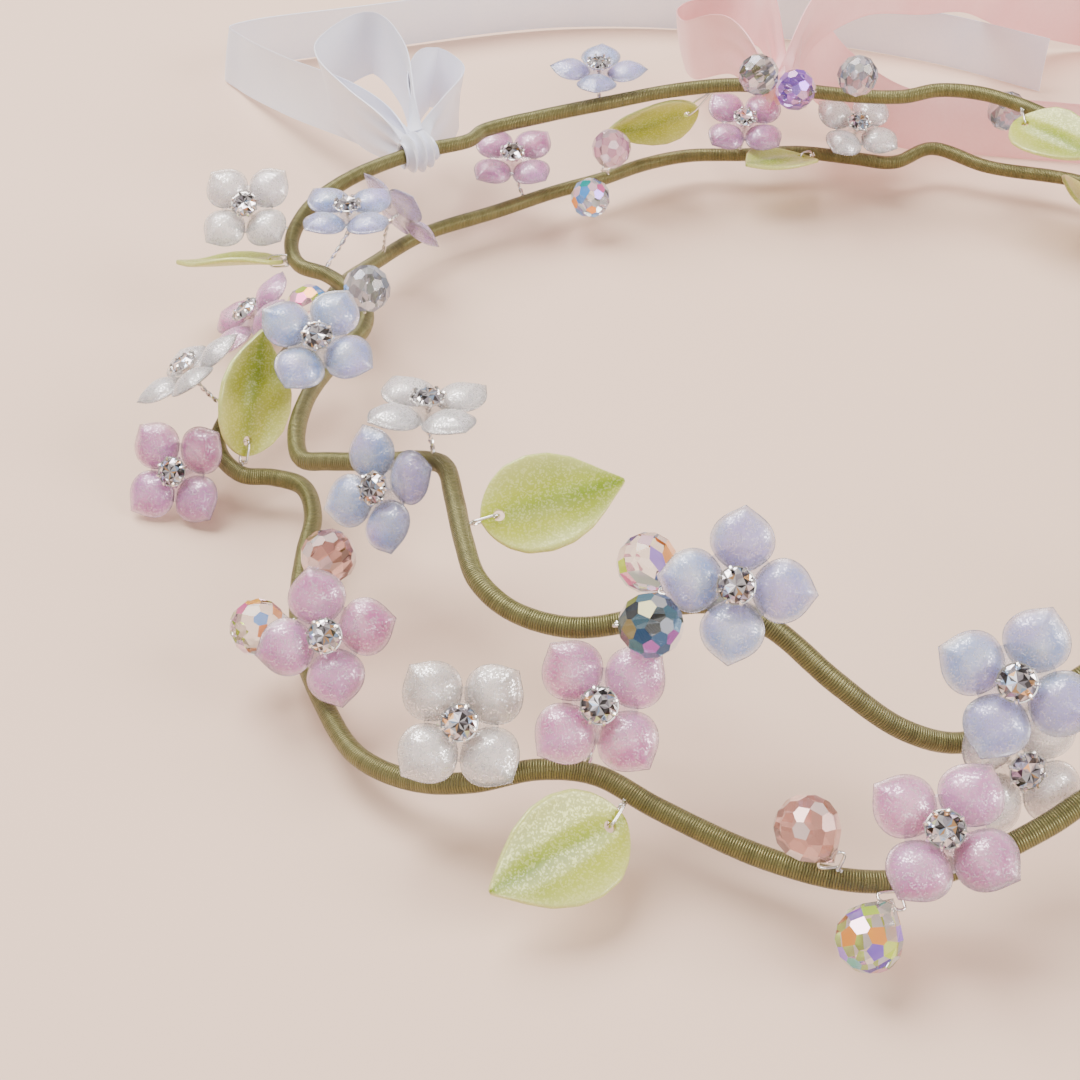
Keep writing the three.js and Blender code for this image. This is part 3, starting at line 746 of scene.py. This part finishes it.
def add_wire_loop(vine, root, hole, pin, clear, cover):
    """A loop that leaves the vine as a twisted neck, opens, and passes through a hole."""
    way = (root - hole).normalized()
    start_of_neck = root - way * NECK_START * MM
    end_of_neck = root - way * NECK_END * MM
    neck = [start_of_neck, start_of_neck.lerp(end_of_neck, 0.5), end_of_neck]
    one, other = twisted(neck, NECK_TURNS, STRAND * 1.05)
    SILVER[vine].append(tube(one, STRAND, 7))
    SILVER[vine].append(tube(other, STRAND, 7))
    beside = [hole + (pin * side * clear + way * back * cover) * MM for side, back in LOOP_PATH]
    loop = curve_through([one[-1], *beside, other[-1]], 6)
    SILVER[vine].append(tube(loop, STRAND, 7))


# ---- Blossoms ----


def blossom_frame(node):
    """The turned frame of a blossom, from its own mesh: X to a petal's tip, Z the way it faces."""
    corners = np.unique(np.array([tuple(v.co) for v in frame["nodes"][node].data.vertices]).round(7),
                        axis=0)
    middle = corners.mean(axis=0)
    normal = np.linalg.svd(corners - middle)[2][2]
    flat = (corners - middle) - np.outer((corners - middle) @ normal, normal)
    reach = np.linalg.norm(flat, axis=1)
    tips = corners[reach > 0.97 * reach.max()]
    hole = corners[reach < 0.15 * reach.max()]
    centre = hole.mean(axis=0)
    if (tips.mean(axis=0) - centre) @ normal < 0:
        normal = -normal
    tip = flat[np.argmax(reach)]
    x = Vector(tip).normalized()
    z = Vector(normal).normalized()
    y = z.cross(x).normalized()
    matrix = Matrix((x, y, z)).transposed().to_4x4()
    matrix.translation = Vector(centre)
    return matrix


# A petal seen from above: how far it reaches from its own middle, round from its pointed tip.
PETAL_ANGLES = (0, 6, 12, 20, 30, 45, 60, 75, 90, 105, 120, 135, 150, 180)
PETAL_REACH = (4.7, 4.36, 4.17, 4.04, 3.96, 3.92, 3.88, 3.8, 3.66, 3.42, 3.18, 3.02, 2.96, 2.95)
PETAL_MIDDLE = 4.5
PETAL_CROWN = 1.55
DOME_EDGE = 0.91  # where the milky dome runs out into the clear rim
RIM_HALF_THICKNESS = 0.27
WEB_RADIUS = 4.4


def dished(x, y):
    return BLOSSOM_DISH * (x ** 2 + y ** 2) / BLOSSOM_RADIUS ** 2


def shape_petal(corners):
    """Turns a unit ball into one petal that points along X: a soft dome on a thin rim."""
    out = np.clip(np.hypot(corners[:, 0], corners[:, 1]), 0, 1)
    around = np.arctan2(corners[:, 1], corners[:, 0])
    reach = np.interp(np.degrees(np.abs(around)), PETAL_ANGLES, PETAL_REACH)
    rounder = np.interp(np.degrees(np.abs(around)), (0, 30), (1.01, 0.99))
    x = PETAL_MIDDLE + out * reach * np.cos(around)
    y = out * reach * np.sin(around)
    inside = np.clip(out / (DOME_EDGE * rounder), 0, 1)
    dome = PETAL_CROWN * (1 - inside ** 2.2) ** 0.9
    wall = RIM_HALF_THICKNESS * np.sqrt(np.clip(1 - out ** 10, 0, 1))
    height = dished(x, y) + np.where(corners[:, 2] > 0, wall + dome, -wall)
    return np.stack([x, y, height], axis=1) * MM


def shape_web(corners):
    """Turns a unit ball into the small clear disc that joins the petals at their roots."""
    x = corners[:, 0] * WEB_RADIUS
    y = corners[:, 1] * WEB_RADIUS
    out = np.clip(np.hypot(corners[:, 0], corners[:, 1]), 0, 1)
    wall = 0.9 * RIM_HALF_THICKNESS * np.sqrt(1 - out ** 6)
    return np.stack([x, y, dished(x, y) + np.sign(corners[:, 2]) * wall], axis=1) * MM


def map_corners(piece, pair_of):
    """Fills the piece's map from its corners, taken before they are reshaped."""
    layer = piece.data.uv_layers.get("UVMap") or piece.data.uv_layers.new(name="UVMap")
    for loop in piece.data.loops:
        layer.data[loop.index].uv = pair_of(piece.data.vertices[loop.vertex_index].co)


def make_blossom():
    """Four petals on a clear web, pointing along X and Y and facing Z."""
    deselect()
    bpy.ops.mesh.primitive_uv_sphere_add(segments=48, ring_count=26, radius=1)
    petal = start("petal_master")
    map_corners(petal, lambda place: (min(1.0, math.hypot(place.x, place.y)), 0))
    reshape(petal, shape_petal)
    finish_modifier(petal, "SMOOTH", factor=0.35, iterations=2)
    petals = [place_copy(petal, "petal", Matrix.Rotation(math.radians(turn), 4, "Z"))
              for turn in (90, 180, 270)]
    bpy.ops.mesh.primitive_uv_sphere_add(segments=40, ring_count=8, radius=1)
    blossom = start("blossom_master")
    map_corners(blossom, lambda place: (1, 0))
    reshape(blossom, shape_web)
    only(blossom)
    for piece in (petal, *petals):
        piece.select_set(True)
    bpy.ops.object.join()
    smooth(blossom, 70)
    return blossom


STONE_RADIUS = 2.0
STONE_SEAT = 2.05  # height of the stone's girdle over the blossom's middle
STONE_TABLE = 0.85
STONE_DIMPLE = 0.17
# Rows of the stone's facets: how many, their slope, a radius and height that they pass through, and
# the part of a facet that the row is turned by.
STONE_ROWS = ((16, 38, 1.98, 0.1, 0.5), (8, 48, 1.86, 0.22, 0), (8, 64, 1.2, 0.8, 0.5),
              (8, -44, 1.98, 0, 0))


def bisected(piece, planes):
    """Cuts flat facets: everything outside each plane (normal, distance) is taken off."""
    only(piece)
    bpy.ops.object.mode_set(mode="EDIT")
    for normal, distance in planes:
        bpy.ops.mesh.select_all(action="SELECT")
        bpy.ops.mesh.bisect(
            plane_co=Vector(normal) * distance, plane_no=normal, use_fill=True, clear_outer=True,
        )
    bpy.ops.object.mode_set(mode="OBJECT")


def ring_of_planes(count, elevation, distance, offset):
    """Planes in a row round Z, each one sloping up by an elevation, as (normal, distance)."""
    level = math.cos(math.radians(elevation))
    rise = math.sin(math.radians(elevation))
    for k in range(count):
        angle = 2 * math.pi * (k + offset) / count
        yield (level * math.cos(angle), level * math.sin(angle), rise), distance


def paint_facets(piece, choose):
    """Gives every facet one colour, with how far its coating covers it as the alpha."""
    layer = piece.data.color_attributes.new("facet", "FLOAT_COLOR", "CORNER")
    for face in piece.data.polygons:
        colour = choose(face)
        for corner in face.loop_indices:
            layer.data[corner].color = colour


def make_rhinestone():
    """A round cut stone with a dimpled table. Its larger facets are split for a livelier sparkle."""
    deselect()
    bpy.ops.mesh.primitive_cylinder_add(vertices=32, radius=STONE_RADIUS * MM, depth=3.4 * MM)
    stone = start("rhinestone_master")
    planes = [((0, 0, 1), STONE_TABLE * MM)]
    for count, slope, radius, height, turn in STONE_ROWS:
        level, rise = math.cos(math.radians(slope)), math.sin(math.radians(slope))
        planes += ring_of_planes(count, slope, (radius * level + height * rise) * MM, turn)
    bisected(stone, planes)
    work = bmesh.new()
    work.from_mesh(stone.data)
    table = max(work.faces, key=lambda f: (round(f.normal.z, 3), f.calc_center_median().z))
    poked = bmesh.ops.poke(work, faces=[table])
    bmesh.ops.translate(work, verts=poked["verts"], vec=(0, 0, -STONE_DIMPLE * MM))
    large = [face for face in work.faces if face.calc_area() > 0.45 * MM * MM]
    bmesh.ops.poke(work, faces=large)
    work.to_mesh(stone.data)
    work.free()
    return stone


def painted_stone_reflection(chance, face):
    """Painted reflections of the foiled facets: bright, grey or dark by chance, with a few orange and blue sparks.
    """
    roll = chance.random()
    if roll < 0.34:
        grey = chance.uniform(0.7, 0.92)
        return rgba(grey, grey * 0.96, grey, 1)
    if roll < 0.6:
        grey = chance.uniform(0.32, 0.6)
        return rgba(grey, grey * 0.92, grey * 1.05, 1)
    if roll < 0.86:
        grey = chance.uniform(0.03, 0.14) if face.normal.z > 0 else 0.08
        return rgba(grey, grey * 0.86, grey * 0.9, 1)
    if roll < 0.93:
        return rgba(0.8, 0.45, 0.2, 1)
    return rgba(0.45, 0.6, 0.85, 1)


# The cup's wall from its foot round the rim and back inside, as radius and height.
CUP_PROFILE = (
    (0, 1.0), (1.0, 1.0), (1.45, 1.35), (2.02, 1.75), (2.2, 2.0), (2.22, 2.12), (2.08, 2.14),
    (1.9, 1.85), (1.3, 1.45), (0.9, 1.25), (0, 1.25),
)
CLAWS = 8
CLAW_BEND = ((2.05, 1.75), (2.24, 2.05), (2.2, 2.4), (1.98, 2.68), (1.72, 2.8))
CLAW_RADII = (0.24, 0.26, 0.2)
# Heights of the stem's foot in the cup, its knee behind the blossom and its lower bend.
STEM_FOOT = 1.1
STEM_KNEE = -0.4
STEM_BEND = -2.6
STEM_TURNS = 4


def add_claw_cup(vine, matrix):
    """The claw cup under a stone, its claws bent over the girdle, and its stem."""
    SILVER[vine].append(turned(CUP_PROFILE, 24, matrix))
    for k in range(CLAWS):
        angle = 2 * math.pi * (k + 0.5) / CLAWS
        out = Vector((math.cos(angle), math.sin(angle), 0))
        claw = [out * (radius * MM) + Z_AXIS * (height * MM) for radius, height in CLAW_BEND]
        path = curve_through(carried(claw, matrix), 3)
        width = np.interp(np.linspace(0, 1, len(path)), (0, 0.6, 1), CLAW_RADII) * MM
        SILVER[vine].append(tube(path, width, 6))
    bend, knee, foot = (matrix @ Vector((0, 0, height * MM))
                        for height in (STEM_BEND, STEM_KNEE, STEM_FOOT))
    stem = curve_through([nearest_on_vine(vine, bend), bend, knee, foot], 8)
    for strand in twisted(stem, STEM_TURNS, STRAND):
        SILVER[vine].append(tube(strand, STRAND, 6))


def add_blossoms():
    blossom = make_blossom()
    stone = make_rhinestone()
    for node in sorted(n for n in frame["nodes"] if n.endswith("_blossom")):
        name = node.removesuffix("_blossom")
        matrix = blossom_frame(node)
        petals = place_copy(blossom, f"{name}_petals", matrix)
        dress(petals, SLOTS[node], "crown", node)
        chance = random.Random(node)
        seat = matrix @ Matrix.Translation((0, 0, STONE_SEAT * MM))
        seat = seat @ Matrix.Rotation(chance.uniform(0, math.pi), 4, "Z")
        rhinestone = place_copy(stone, f"{name}_rhinestone", seat)
        # each facet's colour is a painted reflection
        paint_facets(rhinestone, lambda face: painted_stone_reflection(chance, face))
        dress(rhinestone, "rhinestone", "crown")
        add_claw_cup("upper" if name in UPPER_BLOSSOMS else "lower", matrix)
    remove(blossom)
    remove(stone)


# ---- Leaves ----

# A leaf's half width along it, from the rounded base to the drawn-out tip.
LEAF_STOPS = (0, 0.02, 0.06, 0.13, 0.24, 0.4, 0.55, 0.7, 0.82, 0.91, 0.96, 1)
LEAF_WIDTHS = (0.02, 0.24, 0.46, 0.7, 0.91, 1.0, 0.95, 0.76, 0.49, 0.26, 0.14, 0.03)
LEAF_THICKNESS = 0.75
LEAF_HOLE_RADIUS = 0.75
LEAF_SINK = 0.15
MIDRIB_HEIGHT = 0.45
MIDRIB_WIDTH = 1.5
LEAF_TWIST = 0.22
TIP_CURL = 0.5
LEAF_LOOP_CLEARANCE = 0.95
LEAF_LOOP_COVER = LEAF_HOLE_INSET + 0.2


def shape_leaf(corners):
    """Turns a unit square into a cupped leaf that points along X from its hole at the origin."""
    along = corners[:, 0] + 0.5
    x = along * LEAF_LENGTH - LEAF_HOLE_INSET
    width = np.interp(along, LEAF_STOPS, LEAF_WIDTHS) * LEAF_HALF_WIDTH
    y = corners[:, 1] * 2 * width
    cup = LEAF_CUP * (y / LEAF_HALF_WIDTH) ** 2
    arch = np.sin(np.pi * np.clip(along, 0, 1))
    midrib = MIDRIB_HEIGHT * np.exp(-(y / MIDRIB_WIDTH) ** 2) * arch
    twist = LEAF_TWIST * np.sin(2.2 * np.pi * along) * (y / LEAF_HALF_WIDTH)
    tip = TIP_CURL * np.clip((along - 0.75) / 0.25, 0, 1) ** 2
    return np.stack([x, y, cup + midrib + twist + tip - LEAF_SINK], axis=1) * MM


def make_leaf():
    deselect()
    bpy.ops.mesh.primitive_grid_add(x_subdivisions=44, y_subdivisions=20, size=1)
    leaf = start("leaf_master")
    map_corners(leaf, lambda place: (place.y * 2, (place.x + 0.5) * LEAF_LENGTH))
    reshape(leaf, shape_leaf)
    finish_modifier(leaf, "SOLIDIFY", thickness=LEAF_THICKNESS * MM, offset=0)
    finish_modifier(leaf, "SUBSURF", levels=1, render_levels=1)
    bpy.ops.mesh.primitive_cylinder_add(vertices=20, radius=LEAF_HOLE_RADIUS * MM, depth=4 * MM)
    drill_through(leaf, start("drill"))
    smooth(leaf, 50)
    return leaf


def joint_of(body):
    """The hole that a leaf or a drop turns about, and the way of its pin."""
    joint = next(j for j in frame["joints"] if j["child"] == body)
    return Vector(joint["pos_m"]), Vector(joint["axis"]).normalized()


def farthest_corner(node, place):
    corners = [v.co for v in frame["nodes"][node].data.vertices]
    return max(corners, key=lambda corner: (corner - place).length)


def add_leaves():
    leaf = make_leaf()
    for name, (vine, angle) in LEAF_ROOTS.items():
        node = f"{name}_leaf"
        hole, normal = joint_of(node)
        reach = farthest_corner(node, hole) - hole
        x = (reach - normal * reach.dot(normal)).normalized()
        matrix = Matrix((x, normal.cross(x), normal)).transposed().to_4x4()
        matrix.translation = hole
        blade = place_copy(leaf, f"{name}_leaf_blade", matrix)
        dress(blade, "leaf_resin", node, node)
        root = on_vine(vine, angle)
        add_wire_loop(vine, root, hole, normal, LEAF_LOOP_CLEARANCE, LEAF_LOOP_COVER)
    remove(leaf)


# ---- Drops ----

AURORA = (
    (0.0, 0.4, 0.42), (0.9, 0.12, 0.42), (1.0, 0.36, 0.05), (0.55, 0.8, 0.02), (0.28, 0.12, 0.85),
    (0.05, 0.36, 0.95), (0.95, 0.6, 0.75), (0.9, 0.95, 0.95),
)
INK = ((0.02, 0.12, 0.32), (0.03, 0.22, 0.34), (0.4, 0.1, 0.55), (0.01, 0.015, 0.03),
       (0.16, 0.36, 0.5), (0.2, 0.18, 0.06), (0.85, 0.85, 0.92))
VIOLET = ((0.35, 0.1, 0.8), (0.7, 0.3, 0.95), (0.9, 0.55, 0.95), (0.2, 0.08, 0.5), (0.9, 0.9, 1.0))
SMOKE = ((0.2, 0.2, 0.28), (0.42, 0.5, 0.72), (0.75, 0.7, 0.66), (0.1, 0.1, 0.14), (0.9, 0.9, 0.95))
CHAMPAGNE = ((0.45, 0.2, 0.16), (0.85, 0.55, 0.48), (0.2, 0.08, 0.07), (1.0, 0.92, 0.9))
MAUVE = ((0.6, 0.25, 0.45), (0.92, 0.6, 0.75), (1.0, 0.9, 0.95))
# Each glass: its coating's colours, the part of the facets that show it, and how strongly.
COATINGS = {
    "aurora_glass": (AURORA, 0.45, 1.0), "ink_glass": (INK, 0.85, 0.85),
    "violet_glass": (VIOLET, 0.7, 0.75), "smoke_glass": (SMOKE, 0.5, 0.55),
    "champagne_glass": (CHAMPAGNE, 0.6, 0.6), "mauve_glass": (MAUVE, 0.55, 0.6),
}

# Rows of a drop's facets: how many, their slope, how far out they stand as a part of the others,
# and the part of a facet that the row is turned by.
DROP_ROWS = ((6, -64, 1, 0), (10, -42, 1, 0.5), (10, -19, 1, 0), (10, 3, 1, 0.5), (10, 22, 1, 0),
             (10, 36, 1.02, 0.5))
DROP_FACETS_OUT = 3.5625  # from the ball's middle; the model's plainer ball has a radius of 3.8
DROP_HOLE_RADIUS = 0.42
PLAIN_ROUND_HOLE = 1.2  # facets nearer the hole than this are left uncoated
BAIL_CLEARANCE = 1.6
BAIL_COVER = 0.9


def make_drop():
    """A cut drop: rows of flat facets round a ball, drawn out to a drilled tip."""
    deselect()
    bpy.ops.mesh.primitive_cube_add(size=14 * MM, location=(0, 0, 0))
    drop = start("drop_master")
    radius = DROP_FACETS_OUT * MM
    tip = (DROP_HOLE_TO_BALL + DROP_TIP_OVER_HOLE) * MM
    planes = [((0, 0, -1), radius), ((0, 0, 1), tip)]
    for count, slope, out, turn in DROP_ROWS:
        planes += ring_of_planes(count, slope, radius * out, turn)
    bisected(drop, planes)
    drop.data.transform(Matrix.Translation((0, 0, -DROP_HOLE_TO_BALL * MM)))
    bpy.ops.mesh.primitive_cylinder_add(
        vertices=14, radius=DROP_HOLE_RADIUS * MM, depth=6 * MM, rotation=(0, math.pi / 2, 0)
    )
    drill_through(drop, start("drop_drill"))
    return drop


def coating_of(glass, chance, hole, face):
    """A facet's tint by chance, with how strongly it covers the glass as the alpha."""
    colours, share, strength = COATINGS[glass]
    if chance.random() > share or (face.center - hole).length < PLAIN_ROUND_HOLE * MM:
        return rgba(1, 1, 1, 0)
    return rgba(*chance.choice(colours), strength * chance.uniform(0.6, 1))


def add_drops():
    drop = make_drop()
    for node in sorted(n for n in frame["nodes"] if n.endswith("_drop")):
        name = node.removesuffix("_drop")
        vine = "upper" if name in UPPER_DROPS else "lower"
        hole, pin = joint_of(node)
        up = (hole - farthest_corner(node, hole)).normalized()
        up = (up - pin * up.dot(pin)).normalized()
        matrix = Matrix((pin, up.cross(pin), up)).transposed().to_4x4()
        matrix.translation = hole
        cut = place_copy(drop, f"{name}_cut_drop", matrix)
        chance = random.Random(node)
        paint_facets(cut, lambda face: coating_of(SLOTS[node], chance, hole, face))
        dress(cut, SLOTS[node], node, node)
        root = hole + up * DROP_REACH * MM
        add_wire_loop(vine, root, hole, pin, BAIL_CLEARANCE, BAIL_COVER)
    remove(drop)


def add_silver():
    for vine, shells in SILVER.items():
        silver = from_shells(f"{vine}_vine_silver", shells)
        smooth(silver, 55)
        dress(silver, "silver_wire", "crown", f"{vine}_vine_wire")


# ---- Ribbons ----

RIBBON_THICKNESS = 0.22
RIBBON_STEP = 1.2
RIBBON_ROWS = 17  # corners across the width
GATHER_LENGTH = 7  # how quickly the pleats open out from a knot
GATHER = 0.62  # the part of the width that a knot takes in
PLEAT_DEPTH = 1.15
BOW_DEPTH = 0.5
KNOT_RADIUS = 3.1
KNOT_MAP_RADIUS = 3.2
KNOT_HALF_LENGTH = 3.1
KNOT_PLEAT = 0.55
KNOT_TAPER = 0.9


def grid_faces(across, lengths, flipped):
    """Faces and map of corners that stand in rows across a band, one row at each length."""
    count = len(across)
    faces, mapped = [], []
    for i in range(len(lengths) - 1):
        for k in range(count - 1):
            cell = [(i, k), (i, k + 1), (i + 1, k + 1), (i + 1, k)]
            if flipped:
                cell = [cell[0], *reversed(cell[1:])]
            faces.append(tuple(row * count + column for row, column in cell))
            mapped.extend((across[column], lengths[row]) for row, column in cell)
    return faces, mapped


def ribbon_strip(points, seed, pinch_start, pinch_end, lean):
    """A stretch of satin that stands on its edge, as a grid of corners, pleated where it is tied."""
    middle = [(x * MM, y * MM, (z + RIBBON_WIDTH / 2) * MM) for x, y, z in points]
    route = evenly(curve_through(middle, 14), RIBBON_STEP * MM)
    lengths = lengths_along(route) / MM
    total = lengths[-1]
    tangents = np.gradient(route, axis=0)
    tangents /= np.linalg.norm(tangents, axis=1)[:, None]
    up = np.array((0, 0, 1.0)) - tangents * tangents[:, 2:3]
    up /= np.linalg.norm(up, axis=1)[:, None]
    out = np.cross(up, tangents)
    start_tie = pinch_start * np.exp(-lengths / GATHER_LENGTH)
    end_tie = pinch_end * np.exp(-(total - lengths) / GATHER_LENGTH)
    tie = np.clip(start_tie + end_tie, 0, 1)
    tilt = np.radians(lean) * np.sin(np.pi * lengths / total) * (1 - tie)
    across = np.linspace(-1, 1, RIBBON_ROWS)
    half = RIBBON_WIDTH / 2 * MM
    narrow = 1 - GATHER * tie
    wave = random.Random(seed).uniform(0, 6)
    rows = []
    for i in range(len(route)):
        lean_up = math.cos(tilt[i]) * up[i] + math.sin(tilt[i]) * out[i]
        lean_out = math.cos(tilt[i]) * out[i] - math.sin(tilt[i]) * up[i]
        bow = BOW_DEPTH * MM * math.sin(lengths[i] / 17 + wave) * across ** 2
        pleat = PLEAT_DEPTH * MM * tie[i] * np.sin(across * 2.5 * math.pi)
        rows.append(route[i] + np.outer(across * half * narrow[i], lean_up)
                    + np.outer(bow + pleat, lean_out))
    return list(np.array(rows).reshape(-1, 3)), *grid_faces(across, lengths, False)


def knot_band(centre, axis, seed):
    """The ribbon's own turn round the knot, pleated narrow."""
    first = axis.orthogonal().normalized()
    second = axis.cross(first)
    around = np.linspace(0, 2 * math.pi, 49)
    across = np.linspace(-1, 1, RIBBON_ROWS)
    wave = random.Random(seed).uniform(0, 6)
    corners = []
    for angle in around:
        sway = 0.6 * math.sin(2 * angle + wave)
        for t in across.tolist():
            pleat = KNOT_PLEAT * math.cos(t * 3.5 * math.pi + sway)
            radius = (KNOT_RADIUS + pleat - KNOT_TAPER * t * t) * MM
            corners.append(centre + axis * (t * KNOT_HALF_LENGTH * MM)
                           + radius * (math.cos(angle) * first + math.sin(angle) * second))
    return corners, *grid_faces(across, KNOT_MAP_RADIUS * around, True)


def add_ribbon(name, node, satin, knot, stretches, ties, leans):
    """A ribbon from its stretches, which of their ends are tied, and how far each one leans."""
    shells = []
    for number, (points, (begin, end), lean) in enumerate(zip(stretches, ties, leans)):
        shells.append(ribbon_strip(points, f"{name}{number}", begin, end, lean))
    centre = Vector(knot) * MM
    vine = VINES["upper"]
    index = int(np.argmin(np.linalg.norm(vine - np.array(centre), axis=1)))
    along = Vector(vine[index + 2] - vine[index - 2]).normalized()
    shells.append(knot_band(centre, along, name))
    ribbon = from_shells(name, shells)
    finish_modifier(ribbon, "SOLIDIFY", thickness=RIBBON_THICKNESS * MM, offset=0)
    smooth(ribbon, 50)
    dress(ribbon, satin, "crown", node)


# ---- Assembly ----


def add_floor():
    deselect()
    bpy.ops.mesh.primitive_plane_add(size=6)
    floor = start("table")
    floor.data.materials.append(floor_finish())


set_camera()
set_light()
add_floor()
for winding_vine in VINES:
    wind_vine(winding_vine)
add_blossoms()
add_leaves()
add_drops()
add_silver()
add_ribbon("pale_blue_satin_ribbon", "pale_blue_ribbon", "pale_blue_satin", PALE_KNOT,
           PALE_STRETCHES, ((True, False), (True, True), (True, True)), (-14, 10, -8))
add_ribbon("pink_satin_ribbon", "pink_ribbon", "pink_satin", PINK_KNOT,
           PINK_STRETCHES, ((True, True), (True, False), (True, False)), (12, -10, 10))
